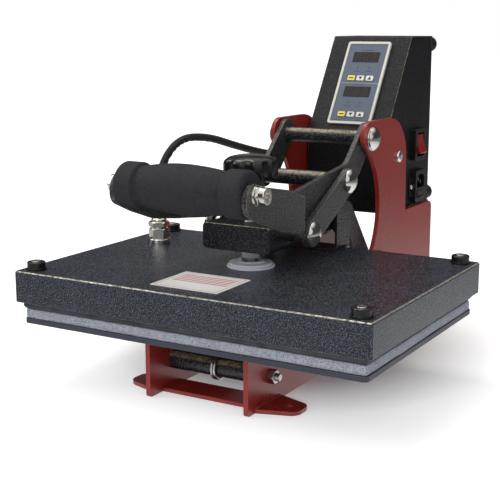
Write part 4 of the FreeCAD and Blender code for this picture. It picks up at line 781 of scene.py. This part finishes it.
def hexagon_nut(low, high, flats, bore, around=72):
    """Ring of heights and angles: each point's radius is the smaller of the hexagon's,
    half the flats over the cosine of the angle from the nearest flat, and the cone's,
    which grows by 1.73 of the distance from the nearer face.  The bore's rows close it."""
    angle = turn_angles(around)
    hexagon = flats / 2 / np.cos((angle + math.pi / 6) % (math.pi / 3) - math.pi / 6)
    rise = np.linspace(0, 0.12 * flats / 2, 7)
    height = np.concatenate([low + rise, high - rise[::-1]])
    cone = 0.97 * flats / 2 + 1.73 * np.minimum(height - low, high - height)
    radius = np.vstack([np.minimum(hexagon, cone[:, None]), np.full((2, around), bore)])
    return around_z(radius, angle, np.concatenate([height, [high, low]])[:, None])


thread = thread_points(0.055, TIE_END, TIE_RADIUS, pitch=0.00125, depth=0.00055, plain=0.0005, around=40,
                       chamfer=0.0007)
nut = hexagon_nut(PLATE_OUT, PLATE_OUT + NUT_HIGH, NUT_FLATS, TIE_RADIUS)
rod_parts = []
for end in (-1, 1):
    centre = np.array([0.0, end * TIE_Y, TIE_Z])
    rod_parts.append(plain_rod(centre - ACROSS * ROD_REACH, centre + ACROSS * ROD_REACH, ROD_CORE))
    for side in (-1, 1):
        rod_parts += [skin(along_x(thread, side, centre)), skin(along_x(nut, side, centre), ring=True)]
make_piece("tie_rods_with_nuts", rod_parts, "frame", "tie_rods", sharp_over=35)

# %% [markdown]
# A rubber ring closes each gland round the heater cable.  It's a turned section: a
# rectangle whose two outer corners are rounded, a little wider inside where the cable's
# neck slides as the platen moves.

# %% Rubber seals in the glands
COVER_GLAND, BOX_GLAND = mm(-154.0, -68.0, 146.9), mm(-70.4, 193.0, 205.0)


def seal_ring(centre, axis, inner, outer=0.0066, height=0.0016):
    """A soft ring: its section is a rectangle whose two outer corners are rounded."""
    section = [(inner, 0), (outer, 0), (outer, height * 0.55), (outer - 0.0004, height * 0.85),
               (outer - 0.0009, height), (inner + 0.0004, height), (inner, height * 0.8)]
    return [skin(turned(section, centre, axis, 48), ring=True)]


make_piece("gland_seal_ring", seal_ring(COVER_GLAND, (0, 0, 1), inner=0.0046), "platen")
make_piece("box_gland_seal_ring", seal_ring(BOX_GLAND, (-1, 0, 0), inner=0.0044), "frame")

# %% [markdown]
# The lip under the control box.  The box stands on a folded strip that bolts between
# the side plates.  It's a rounded bar: a rectangle with round corners, carried straight
# across, so one section and a line are enough.

# %% Lip under the box
LIP_LOW, LIP_HIGH, LIP_ROUND = (-0.0532, 0.171, 0.1385), (0.0532, 0.2325, 0.1436), 0.001


def rounded_bar(low, high, radius, per_corner=6):
    """A bar along X between two corners: its section, across Y and Z, is a rectangle
    whose corners are arcs of the given radius."""
    low, high = np.asarray(low), np.asarray(high)
    middle, half = (low + high) / 2, (high - low) / 2
    outline = rounded_outline(half[1], half[2], radius, per_corner, 0)
    ends = np.array([[low[0]], [high[0]]])
    return skin(grid_points(ends, middle[1] + outline[:, 0], middle[2] + outline[:, 1]))


make_piece("box_mounting_lip", [rounded_bar(LIP_LOW, LIP_HIGH, LIP_ROUND)], "frame",
           sharp_over=40)

# %% [markdown]
# Finishes are built from nodes.  A small class holds one node tree and has a short word
# for each kind of node that the finishes need.  Inputs are filled with plain numbers or
# with the output of another node.  Colours are written as a painter reads them off a
# chart, from 0 to 255, and turned into the linear light that the renderer works in.

# %% Helpers for node trees
def chart(red, green, blue):
    """Colour-chart numbers to linear light: below a small value they are divided by
    12.92, and above it they follow a power of 2.4."""
    c = np.array([red, green, blue], float) / 255.0
    linear = np.where(c <= 0.04045, c / 12.92, ((c + 0.055) / 1.055) ** 2.4)
    return (*linear.tolist(), 1.0)


class Nodes:
    """One node tree.  Each word adds a node and gives its output."""

    def __init__(self, tree):
        self.tree = tree

    def fill(self, socket, value):
        """Link an output to the socket, or set the socket to a plain value."""
        if isinstance(value, bpy.types.NodeSocket):
            self.tree.links.new(value, socket)
        else:
            socket.default_value = value

    def put(self, kind, inputs=None, output=0, **fields):
        """Any node: its fields are set, and its inputs filled by name or number."""
        node = self.tree.nodes.new("ShaderNode" + kind)
        for field, value in fields.items():
            setattr(node, field, value)
        for key, value in (inputs or {}).items():
            self.fill(node.inputs[key], value)
        return node.outputs if output is None else node.outputs[output]

    def group(self, tree, **values):
        """A shared group with this material's own values; it gives all its outputs."""
        return self.put("Group", {label.replace("_", " "): value for label, value in values.items()}, None,
                        node_tree=tree)

    def calc(self, operation, a, b=0.0, c=0.0, clamp=False):
        """One sum, product or comparison."""
        return self.put("Math", {0: a, 1: b, 2: c}, operation=operation, use_clamp=clamp)

    def times(self, a, b):
        """The product of two values."""
        return self.calc("MULTIPLY", a, b)

    def plus(self, a, b, clamp=False):
        """The sum of two values."""
        return self.calc("ADD", a, b, clamp=clamp)

    def ramp(self, value, low, high, out_low=0.0, out_high=1.0):
        """A value between low and high, spread from out_low to out_high and held there."""
        return self.put("MapRange", {0: value, 1: low, 2: high, 3: out_low, 4: out_high}, clamp=True)

    def mix(self, share, first, second, kind="MIX"):
        """First colour where the share is nought, second where it is one.  Three plain
        numbers are a colour off the chart."""
        first, second = (chart(*c) if isinstance(c, tuple) and len(c) == 3 else c for c in (first, second))
        return self.put("Mix", {0: share, 6: first, 7: second}, 2, data_type="RGBA", blend_type=kind)

    def spread(self, cloud, low, high):
        """Cloudy noise, whose middle runs from 0.3 to 0.7, spread from low to high."""
        return self.ramp(cloud, 0.3, 0.7, low, high)

    def shaded(self, colour, shade):
        """A colour made lighter or darker by a number near one."""
        return self.mix(1.0, colour, self.put("CombineColor", {0: shade, 1: shade, 2: shade}), "MULTIPLY")

    def place(self):
        """Where the point is on the object, in metres."""
        return self.put("TexCoord", output="Object")

    def stretched(self, place, scale):
        """A place whose three sides are stretched, so that a pattern runs into lines."""
        return self.put("Mapping", {"Vector": place, "Scale": scale})

    def noise(self, place, scale, detail=3.0, roughness=0.55):
        """Cloudy noise, from 0 to 1; the scale counts its cells in a metre."""
        inputs = {"Vector": place, "Scale": scale, "Detail": detail, "Roughness": roughness}
        return self.put("TexNoise", inputs, "Fac")

    def by_ray(self, others, mirrors, direct, end):
        """What each kind of ray meets: the camera's and clear glass's one thing, a
        mirror's another, and the rest, which carry light, a third."""
        ray = self.put("LightPath", output=None)
        mixed = self.put("MixShader", {0: ray["Is Glossy Ray"], 1: others, 2: mirrors})
        straight = self.plus(ray["Is Camera Ray"], ray["Is Transmission Ray"], clamp=True)
        mixed = self.put("MixShader", {0: straight, 1: mixed, 2: direct})
        self.fill(self.tree.nodes[end].inputs["Surface"], mixed)


class Finish(Nodes):
    """A new material and its shader."""

    def __init__(self, name):
        self.material = bpy.data.materials.new(name)
        self.material.use_nodes = True
        super().__init__(self.material.node_tree)
        self.shader = self.tree.nodes["Principled BSDF"]

    def bump(self, height, depth, **normal):
        """Raise and sink the shader's surface by the height times the depth."""
        bumped = self.put("Bump", {"Strength": 1.0, "Distance": depth, "Height": height, **normal})
        self.fill(self.shader.inputs["Normal"], bumped)

    def give(self, parts, colour, roughness, **more):
        """Feed the shader, and put the finish in every slot of each named part."""
        for label, value in {"Base Color": colour, "Roughness": roughness, **more}.items():
            self.fill(self.shader.inputs[label.replace("_", " ")], value)
        for name in parts.split():
            piece = pieces[name] if name in pieces else nodes[name]
            if not piece.material_slots:
                piece.data.materials.append(self.material)
            for slot in piece.material_slots:
                slot.material = self.material
        print("%-24s %s" % (self.material.name, parts))


def new_group(name, inputs, outputs):
    """A shader group: its nodes, its inputs with their usual values, and its outputs
    with their kinds."""
    tree = bpy.data.node_groups.new(name, "ShaderNodeTree")
    for label, value in inputs.items():
        socket = tree.interface.new_socket(label, in_out="INPUT", socket_type="NodeSocketFloat")
        socket.default_value = value
    for label, kind in outputs.items():
        tree.interface.new_socket(label, in_out="OUTPUT", socket_type="NodeSocket" + kind)
    return Nodes(tree), tree.nodes.new("NodeGroupInput").outputs, tree.nodes.new("NodeGroupOutput").inputs


# %% [markdown]
# Worn edges and painted sheen.  Sheet metal that is coated and then handled shows bright
# where the coat has rubbed off its edges.  The renderer can find edges by comparing the
# direction a face points in with the direction it would point in if its edges were
# rounded.  Where the two differ there is an edge; cloudy noise breaks the band up, as wear
# does.  A second band, where the face points between level and straight up, is painted
# highlight rather than wear: it lies along a pressed cover's rim and along the upper side
# of each round tube, where the light from above catches them.

# %% Group: worn edge mask with a painted sheen band
wear, wear_in, wear_out = new_group(
    "worn_edge_and_painted_sheen_mask", {"Width": 0.001, "Scale": 300.0, "Broken": 0.5, "Bends": 0.0},
    {"Mask": "Float", "Normal": "Vector"})
coordinates = wear.put("TexCoord", output=None)
rounded = wear.put("Bevel", {"Radius": wear_in["Width"]}, samples=6)
plain = wear.put("NewGeometry", output="Normal")
likeness = wear.put("VectorMath", {0: rounded, 1: plain}, "Value", operation="DOT_PRODUCT")
band = wear.ramp(likeness, 0.985, 0.86)
upward = wear.put("SeparateXYZ", {0: coordinates["Normal"]}, "Z")
# painted highlight: a band where the face points between level and up, the lit rim of a cover or the top of a
# tube
bend = wear.times(wear.ramp(upward, 0.45, 0.65), wear.ramp(upward, 0.97, 0.9))
band = wear.calc("MAXIMUM", band, wear.times(bend, wear_in["Bends"]))
broken = wear.ramp(wear.noise(coordinates["Object"], wear_in["Scale"], 4.0, 0.7), 0.38, 0.6)
whole = wear.calc("SUBTRACT", 1.0, wear_in["Broken"])
kept = wear.plus(wear.times(broken, wear_in["Broken"]), whole)
wear.fill(wear_out["Mask"], wear.calc("MULTIPLY", band, kept, clamp=True))
wear.fill(wear_out["Normal"], rounded)
print("group", wear.tree.name)

# %% [markdown]
# Powder coat.  It's sprayed on dry and melted, so it sets with a skin like orange peel
# and, in the speckled kinds, with fine raised grains.  Noise at two sizes gives both: a
# broad one for the peel and a fine one, cut off sharply, for the grains.  The textured
# kind wrinkles as it cures; that's a net of cells, whose walls are its high lines.

# %% Group: powder coat grain
powder, powder_in, powder_out = new_group(
    "powder_coat_grain", {"Peel Scale": 500.0, "Grain Scale": 900.0, "Grain Cover": 0.3, "Wrinkle": 0.0},
    {"Height": "Float", "Grain": "Float"})
here = powder.place()
peel = powder.noise(here, powder_in["Peel Scale"], 2.0, 0.5)
fine = powder.noise(here, powder_in["Grain Scale"], 3.0, 0.6)
low_cut = powder.calc("SUBTRACT", 0.62, powder.times(powder_in["Grain Cover"], 0.4))
grains = powder.ramp(fine, low_cut, powder.plus(low_cut, 0.2))
cells = powder.put("TexVoronoi", {"Vector": here, "Scale": powder_in["Peel Scale"]}, "Distance",
                   feature="SMOOTH_F1")
height = powder.calc("MULTIPLY_ADD", grains, 0.4, peel)
powder.fill(powder_out["Height"], powder.calc("MULTIPLY_ADD", cells, powder_in["Wrinkle"], height))
powder.fill(powder_out["Grain"], grains)
print("group", powder.tree.name)

# %% [markdown]
# Handling marks.  No workshop machine is evenly shiny: hands, cloths and dust change
# how sharply it reflects.  Large soft noise gives the wiped patches, and thin stretched
# noise gives faint rub lines.  Dust settles where a surface looks upward.

# %% Group: handling marks and dust
handling, handling_in, handling_out = new_group(
    "handling_marks", {"Scale": 18.0}, {"Patches": "Float", "Rubs": "Float", "Dust": "Float"})
coordinates = handling.put("TexCoord", output=None)
here = coordinates["Object"]
rub_lines = handling.stretched(here, (0.25, 3.0, 3.0))
upward = handling.put("SeparateXYZ", {0: coordinates["Normal"]}, "Z")
specks = handling.ramp(handling.noise(here, 1500.0, 2.0, 0.6), 0.62, 0.7)
for label, value in (
        ("Patches", handling.noise(here, handling_in["Scale"], 4.0, 0.5)),
        ("Rubs", handling.noise(rub_lines, handling.times(handling_in["Scale"], 12.0), 5.0, 0.7)),
        ("Dust", handling.times(handling.ramp(upward, 0.55, 1.0), specks))):
    handling.fill(handling_out[label], value)
print("group", handling.tree.name)

# %% [markdown]
# A coated metal finish is the same recipe each time: a coat colour, grains of a second
# colour, bare metal at the worn edges, a roughness that wanders, and a bumpy skin.  On the
# black coats the pale grains are partly the coat's own speckle and partly painted glints
# off its pebbled skin.  Where a finish asks for it, the pale edge colour is also laid on
# the band that faces between level and up, as a painted highlight.  One function mixes
# it, and each finish gives its own values and names its parts.  The shader itself stays
# in the material, and plain numbers are set on it directly.

# %% Recipe: coated metal
GREY_DUST = (150, 148, 142)


def coated(name, parts, coat, grain_and_glint, bare, roughness, specular, peel, grain_scale, cover, bump=0.0003,
           edge_and_sheen_share=0.3, wear_width=0.0008, broken=0.9, dust=0.3, dust_colour=GREY_DUST, patchy=0.12,
           painted_sheen=0.0, wrinkle=0.0, rub=0.0):
    """Coat, grains that are partly painted glints, worn edges plus a painted sheen band, wandering gloss and
    bump, with this finish's values.
    """
    f = Finish(name)
    skin_of = f.group(powder.tree, Peel_Scale=peel, Grain_Scale=grain_scale, Grain_Cover=cover,
                      Wrinkle=wrinkle)
    edges = f.group(wear.tree, Width=wear_width, Scale=260.0, Broken=broken, Bends=painted_sheen)
    marks = f.group(handling.tree, Scale=18.0)
    # pale grains: partly the coat's real speckle, partly painted glints off its pebbled skin
    colour = f.mix(skin_of["Grain"], coat, grain_and_glint)
    colour = f.shaded(colour, f.spread(marks["Patches"], 1.0 - patchy, 1.0 + patchy))
    colour = f.mix(f.times(marks["Dust"], dust), colour, dust_colour)
    # the mask carries real edge wear and, on finishes that ask for it, a painted highlight band facing
    # between level and up
    worn = f.times(edges["Mask"], edge_and_sheen_share)
    rough = f.plus(f.spread(marks["Patches"], *roughness), f.times(marks["Dust"], 0.2))
    rough = f.plus(rough, f.ramp(marks["Rubs"], 0.5, 0.8, 0.0, rub), clamp=True)
    f.bump(skin_of["Height"], bump, Normal=edges["Normal"])
    f.give(parts, f.mix(worn, colour, bare), rough, Metallic=f.times(worn, 0.7),
           Specular_IOR_Level=specular)


coated("red_powder_coat", "side_plate_right side_plate_left front_foot_strip rear_foot_strip foot_weld_beads",
       (138, 34, 28), (158, 52, 44), (220, 124, 108), (0.26, 0.34), 0.5, 420.0, 1100.0, 0.25, 0.00012,
       broken=0.6, patchy=0.04, dust=0.1, dust_colour=(200, 150, 140))
# near-white edge colour at a high share: partly wear, partly the painted highlight line along the cover's
# rim; pale grains partly painted glints
coated("textured_black_coat", "heat_cover", (31, 34, 40), (96, 102, 116), (236, 226, 204), (0.16, 0.26), 0.28,
       560.0, 760.0, 0.34, edge_and_sheen_share=0.8, wear_width=0.0004, broken=0.95, dust=0.7, patchy=0.06, painted_sheen=1.0,
       wrinkle=0.9)
# pale gold edge colour on the upward-facing band: a painted highlight line along the top of each tube; bluish
# grains partly painted glints
coated("glossy_black_coat",
       "arm_tube arm_fins lever_tubes guide_bracket tie_sleeves platen_crossbars arm_pivot_tube"
       " fin_weld_beads", (14, 14, 17), (74, 76, 90), (208, 190, 152), (0.16, 0.26), 0.5, 460.0, 760.0,
       0.24, 0.0004, 0.6, broken=0.85, dust=0.35, painted_sheen=0.8, wrinkle=0.9)
coated("lever_black_coat", "lever_plate_right lever_plate_left link_bars", (30, 30, 31), (100, 100, 102),
       (208, 190, 152), (0.26, 0.36), 0.55, 560.0, 600.0, 0.34, 0.0005, 0.6, broken=0.85, dust=0.25,
       wrinkle=0.8)
coated("satin_black_coat", "control_box box_mounting_lip", (18, 18, 20), (56, 58, 66), (196, 184, 156),
       (0.34, 0.46), 0.25, 620.0, 620.0, 0.22, edge_and_sheen_share=1.0, wear_width=0.0014, broken=0.8)
coated("plain_black_coat", "back_cover", (18, 18, 20), (50, 52, 58), (150, 142, 124), (0.36, 0.46), 0.25,
       620.0, 620.0, 0.2)
coated("slate_grey_coat", "lower_platen", (54, 56, 68), (74, 76, 88), (150, 150, 158), (0.36, 0.5), 0.35,
       600.0, 1200.0, 0.3, 0.0001, dust=0.15, rub=0.06)

# %% [markdown]
# Bare and plated metal.  Chromed domes are nearly mirrors, zinc is duller and a little
# blue or yellow, and rolled aluminium carries fine lines along one direction.  The same
# recipe covers them: a tint, a roughness that wanders, and stretched noise for the lines.

# %% Recipe: bare metal
def metal(name, parts, tint, dull, roughness, stains=0.5, lines=(1.0, 1.0, 1.0), line_scale=900.0,
          bump=0.00003, rounding=0.0006):
    """Metal whose tint drifts towards a duller one in patches, with drawn lines."""
    f = Finish(name)
    streaks = f.noise(f.stretched(f.place(), lines), line_scale, 4.0, 0.65)
    marks = f.group(handling.tree, Scale=60.0)
    edges = f.group(wear.tree, Width=rounding, Scale=200.0, Broken=0.5)
    share = f.times(f.ramp(marks["Patches"], 0.42, 0.72), stains)
    rough = f.plus(f.spread(marks["Patches"], *roughness), f.times(streaks, 0.06), clamp=True)
    f.bump(streaks, bump, Normal=edges["Normal"])
    f.give(parts, f.mix(share, tint, dull), rough, Metallic=1.0)


metal("chromed_steel", "upper_pivot_bolt lower_pivot_bolt link_pivot_pin link_bolts gland_body gland_nut"
      " grip_rod cross_head_screws", (224, 222, 216), (180, 168, 144), (0.06, 0.14), 0.25, rounding=0.0008)
metal("zinc_plated_steel", "spindle_nut jam_nut spring_pin pivot_spacers box_gland lift_spring_coil"
      " threaded_spindle tie_rods_with_nuts", (190, 190, 192), (150, 146, 134), (0.2, 0.34))
metal("bright_steel", "corner_screws heating_element", (172, 170, 166), (122, 116, 108), (0.22, 0.36),
      lines=(1.0, 1.0, 6.0))
# the heat plate's dark tint is painted shade: it sits in the shadow under the cover
metal("shade_darkened_aluminium", "heat_plate", (88, 92, 98), (62, 66, 72), (0.42, 0.56), 0.6,
      (0.04, 6.0, 6.0), 420.0, 0.00006, 0.001)
metal("plated_brass_pins", "inlet_pins", (188, 178, 150), (150, 138, 108), (0.24, 0.36), 0.25)

# %% [markdown]
# Moulded parts.  Plastic and rubber have one colour all through, a fine spark texture
# from the mould and a soft shine.  The bumpers, switch and inlet all share this recipe;
# only colour, shine and texture change.  The nickel-plated swivel discs sit in the arm's
# shade, where a true metal would mirror the dark room; they are mixed the same way, as a
# pale and very shiny solid, and their pale colour is a painted reflection that keeps them bright.

# %% Recipe: moulded plastic and rubber
def moulded(name, parts, colour, second, roughness, specular=0.5, scale=1200.0, bump=0.00006, rounding=0.0005,
            dust=0.15):
    """Plain plastic: its colour drifts a little, its skin is finely grained, and its
    edges are rounded as a mould leaves them."""
    f = Finish(name)
    here = f.place()
    marks = f.group(handling.tree, Scale=25.0)
    edges = f.group(wear.tree, Width=rounding, Scale=200.0, Broken=0.5)
    share = f.times(f.ramp(f.noise(here, 90.0, 4.0, 0.65), 0.35, 0.7), 0.2)
    base = f.mix(share, colour, second)
    f.bump(f.noise(here, scale, 3.0, 0.6), bump, Normal=edges["Normal"])
    f.give(parts, f.mix(f.times(marks["Dust"], dust), base, GREY_DUST),
           f.spread(marks["Patches"], *roughness), Specular_IOR_Level=specular)


moulded("nickel_plate_painted_pale", "swivel_discs", (206, 209, 216), (176, 180, 188), (0.1, 0.2), 1.0, 600.0,
        0.00003)
moulded("glossy_black_plastic", "corner_collars star_knob", (18, 18, 19), (30, 30, 31), (0.14, 0.26), 0.5,
        500.0, 0.00005)
moulded("satin_black_plastic", "rocker_housing inlet_housing fuse_drawer controller_module", (20, 20, 21),
        (34, 34, 35), (0.26, 0.4))
moulded("black_rubber", "rear_bumpers gland_seal_ring box_gland_seal_ring", (26, 26, 27), (40, 40, 41),
        (0.5, 0.66), 0.35, 900.0, 0.0001, dust=0.25)
moulded("translucent_red_plastic", "power_rocker", (132, 24, 30), (160, 44, 48), (0.12, 0.22), 0.5, 300.0,
        0.00002)
moulded("unlit_lamp_plastic", "panel_lamps", (72, 40, 44), (84, 52, 54), (0.2, 0.3), 0.5, 300.0, 0.00002)
moulded("cream_bezel_plastic", "panel_bezel", (214, 211, 200), (200, 196, 182), (0.4, 0.5), 0.4)
moulded("white_key_plastic", "down_button_lower down_button_upper up_button_lower up_button_upper",
        (222, 220, 210), (200, 198, 186), (0.35, 0.45), 0.45, rounding=0.0008)
moulded("yellow_key_plastic", "set_button_lower set_button_upper", (228, 212, 104), (214, 196, 88),
        (0.35, 0.45), 0.45, rounding=0.0008)
moulded("dark_display_window", "display_windows", (22, 16, 18), (30, 20, 22), (0.06, 0.12), 0.5, 200.0,
        0.00001, 0.0003, 0.04)
moulded("unlit_figure_plastic", "unlit_figures", (46, 34, 34), (52, 38, 38), (0.3, 0.4), 0.4, 200.0, 0.00001,
        0.0001)
moulded("printed_blue_film", "panel_face", (86, 97, 113), (80, 90, 105), (0.32, 0.42), 0.45, 800.0, 0.00002)
for name, parts, colour, second in (
        ("pale_screen_print", "panel_pale_rules", (188, 192, 198), (176, 180, 188)),
        ("dark_screen_print", "panel_dark_bars", (44, 50, 66), (52, 58, 74)),
        ("black_key_print", " ".join(piece for piece in pieces if "_key_mark_" in piece), (28, 28, 28),
         (40, 40, 40))):
    moulded(name, parts, colour, second, (0.4, 0.5), 0.4, rounding=0.0001)

# %% [markdown]
# Soft goods.  Closed-cell foam is a mass of tiny bubbles under a thin skin; sponge
# silicone is coarser and its cut edge shows open pores; glass fibre mat is a felt of
# fine threads.  Each gets pits or threads from its own noise, and no clean highlight.

# %% Foam, sponge and fibre
def soft(name, parts, skin_colour, pit_colour, cell_scale, pits, roughness, bump, specular,
         lines=(1.0, 1.0, 1.0)):
    """Skin colour with darker pits where a point lies near the middle of a cell, the
    cells being stretched along lines for a felt, and a slow drift of shade."""
    f = Finish(name)
    here = f.place()
    drawn = f.stretched(here, lines)
    cells = f.put("TexVoronoi", {"Vector": drawn, "Scale": cell_scale}, "Distance")
    cloud = f.noise(here, 60.0, 4.0, 0.6)
    fine = f.noise(drawn, cell_scale * 1.7, 3.0, 0.65)
    pit = f.times(f.ramp(cells, pits[1], pits[0]), f.ramp(fine, 0.35, 0.6, 0.2, 1.0))
    colour = f.mix(pit, skin_colour, pit_colour)
    f.bump(f.calc("SUBTRACT", fine, pit), bump)
    f.give(parts, f.shaded(colour, f.spread(cloud, 0.9, 1.1)), f.spread(cloud, *roughness),
           Specular_IOR_Level=specular)


soft("closed_cell_foam", "foam_grip_sleeve", (46, 46, 50), (18, 18, 21), 620.0, (0.16, 0.44), (0.6, 0.72),
     0.0004, 0.18)
soft("silicone_sponge", "silicone_sponge_pad", (162, 166, 178), (60, 64, 74), 700.0, (0.22, 0.46),
     (0.7, 0.85), 0.0005, 0.3)
soft("glass_fibre_felt", "glass_fibre_blanket", (206, 200, 184), (150, 144, 128), 700.0, (0.1, 0.5),
     (0.85, 0.95), 0.0006, 0.2, (0.2, 1.0, 1.0))

# %% [markdown]
# The woven sleeve.  Its threads cross the cable on two slants, over one and under one.
# Both slants come from the map of turn and length that the mesh carries, so the weave
# follows every bend.  Where two waves multiply, the sign of the product says which
# thread lies on top.

# %% Woven cable sleeve
THREADS_AROUND, THREADS_PER_METRE = 22.0, 560.0


def woven(name, parts, thread, gap):
    """Two families of slanting waves, the turn times a whole number plus and minus the
    length times threads in a metre; their product, from deep to high, gives the bump,
    and its low part the dark gaps."""
    f = Finish(name)
    sides = f.put("SeparateXYZ", {0: f.put("UVMap", uv_map="lengthwise")}, None)
    turn_wave = f.times(sides["X"], THREADS_AROUND * 2 * math.pi)
    long_wave = f.times(sides["Y"], THREADS_PER_METRE * 2 * math.pi)
    first, second = (f.calc("SINE", f.calc(way, turn_wave, long_wave)) for way in ("ADD", "SUBTRACT"))
    weave = f.calc("ABSOLUTE", f.times(first, second))
    fluff = f.noise(f.place(), 2200.0, 3.0, 0.7)
    high = f.ramp(f.calc("MULTIPLY_ADD", fluff, 0.3, weave), 0.15, 0.7)
    f.bump(high, 0.00025)
    f.give(parts, f.mix(high, gap, thread), f.spread(fluff, 0.45, 0.62),
           Specular_IOR_Level=0.4)


woven("woven_black_sleeve", "heater_cable_sleeve", (46, 46, 49), (14, 14, 15))

# %% [markdown]
# The blank card.  Its ruling is worked out from the place on the card: a red frame where
# a point lies near the rim, and thin red lines at even steps below a header line.

# %% Ruled card
FRAME_FROM, FRAME_TO, LINES_FROM = 0.0028, 0.0036, 0.007
LINE_STEP, LINE_HALF, LINES_ABOVE = 0.0056, 0.0011, -0.004


def ruled(name, parts, centre, half, paper, ink, soil):
    """Distance from the card's middle along each side gives the frame, and distance
    from the nearest of evenly spaced levels gives the lines, which stop short of it and
    fill only the far half."""
    f = Finish(name)
    here = f.place()
    from_centre = f.put("VectorMath", {0: here, 1: tuple(centre)}, operation="SUBTRACT")
    sides = f.put("SeparateXYZ", {0: from_centre}, None)
    off = f.calc("MINIMUM", *(f.calc("SUBTRACT", reach, f.calc("ABSOLUTE", sides[label]))
                              for reach, label in zip(half, "XY")))
    rim = f.times(f.calc("GREATER_THAN", off, FRAME_FROM), f.calc("LESS_THAN", off, FRAME_TO))
    level = f.calc("PINGPONG", f.plus(sides["Y"], LINE_STEP / 2), LINE_STEP / 2)
    lines = f.times(f.calc("LESS_THAN", level, LINE_HALF), f.calc("GREATER_THAN", off, LINES_FROM))
    lines = f.times(lines, f.calc("GREATER_THAN", sides["Y"], LINES_ABOVE))
    faded = f.ramp(f.noise(here, 900.0, 3.0, 0.6), 0.3, 0.5, 0.75, 1.0)
    colour = f.mix(f.times(f.plus(rim, lines, clamp=True), faded), paper, ink)
    soiled = f.times(f.ramp(f.noise(here, 70.0, 4.0, 0.6), 0.45, 0.75), 0.08)
    f.give(parts, f.mix(soiled, colour, soil), f.ramp(faded, 0.5, 1.0, 0.3, 0.42))


ruled("ruled_card", "blank_ruled_card", CARD_CENTRE, CARD_HALF,
      paper=(242, 241, 238), ink=(190, 34, 30), soil=(196, 190, 176))

# %% [markdown]
# The studio.  The press stands on a white sheet that runs out of sight.  A large soft
# light hangs overhead, others stand to the operator's left, behind them and, weakly, to
# the right, and a narrow warm strip draws a fine line along every bend.  The lens and
# clear glass see white all round.  Mirrors see a sheet that fades into a dark room with
# one pale panel overhead and one far behind the press, which give metal its contrast.
# What these surroundings light is lit at a plain mid level.

# %% Floor and lights
WHITE = (1, 1, 1, 1)


def make_floor(size=12.0, sunk=0.00005):
    """A square sheet of one face, just under the feet."""
    corners = np.array([[x * size, y * size, -sunk] for x, y in ((-1, -1), (1, -1), (1, 1), (-1, 1))])
    make_piece("studio_floor", [(corners, [np.array([[0, 1, 2, 3]])])], sharp_over=0)
    f = Finish("white_paper_sweep")
    here = f.place()
    paper = f.mix(f.noise(here, 3.0), (238, 238, 238), (242, 242, 242))
    f.give("studio_floor", paper, 0.9, Specular_IOR_Level=0.0)
    # painted light: for the lens the floor also glows, faintly near the press and up to nearly half white
    # farther out, so the press's shadow fades within a short reach
    away = f.put("VectorMath", {0: here}, "Value", operation="LENGTH")
    painted_floor_light, in_mirror = (f.put("Emission", {"Color": WHITE, "Strength": f.ramp(away, *spread)})
                       for spread in ((0.12, 0.22, 0.06, 0.46), (0.3, 1.2, 1.0, 0.2)))
    plain = f.shader.outputs[0]
    f.by_ray(plain, in_mirror, f.put("AddShader", {0: plain, 1: painted_floor_light}), "Material Output")


def make_sun(name, towards, strength, spread, tint=(1.0, 1.0, 1.0)):
    """A distant lamp whose light comes from the given direction."""
    lamp = bpy.data.lights.new(name, "SUN")
    lamp.energy, lamp.angle, lamp.color = strength, math.radians(spread), tint
    back, right, up = frame_for(towards)
    stand(bpy.data.objects.new(name, lamp), right, up, back)


make_floor()
make_sun("overhead_softbox", (-0.3, 0.15, 0.94), strength=0.7, spread=30.0)
make_sun("left_softbox", (-0.78, -0.3, 0.55), strength=0.9, spread=30.0)
make_sun("front_softbox", (0.1, -0.9, 0.4), strength=0.8, spread=45.0)
make_sun("right_reflector", (0.8, -0.45, 0.35), strength=0.4, spread=50.0)
make_sun("warm_strip", (-0.5, 0.25, 0.83), strength=0.1, spread=7.0, tint=(1.0, 0.9, 0.72))

# %% [markdown]
# The surroundings are painted by direction: how high a mirror's ray looks says whether
# it meets the dark room or the panel overhead, and how near it runs to one fixed
# direction says whether it meets the panel behind the press.

# %% Surroundings
PANEL_BEHIND = (-0.48, 0.85, 0.215)
world = bpy.data.worlds.new("studio_surroundings")
world.use_nodes = True
bpy.context.scene.world = world
room = Nodes(world.node_tree)
lit = room.tree.nodes["Background"]
lit.inputs["Color"].default_value, lit.inputs["Strength"].default_value = WHITE, 0.5
direction = room.put("TexCoord", output="Generated")
upward = room.put("SeparateXYZ", {0: direction}, "Z")
mirror_view = room.mix(room.ramp(upward, 0.5, 0.75), (0.05, 0.05, 0.06, 1), (1.0, 0.98, 0.94, 1))
behind = room.put("VectorMath", {0: direction, 1: PANEL_BEHIND}, "Value", operation="DOT_PRODUCT")
mirror_view = room.mix(room.ramp(behind, 0.986, 0.999), mirror_view, (0.34, 0.33, 0.29, 1))
in_mirror, seen_white = (room.put("Background", {"Color": colour, "Strength": 1.0})
                         for colour in (mirror_view, WHITE))
room.by_ray(lit.outputs[0], in_mirror, seen_white, "World Output")
bpy.context.scene.view_settings.view_transform = "Standard"
print("studio ready")
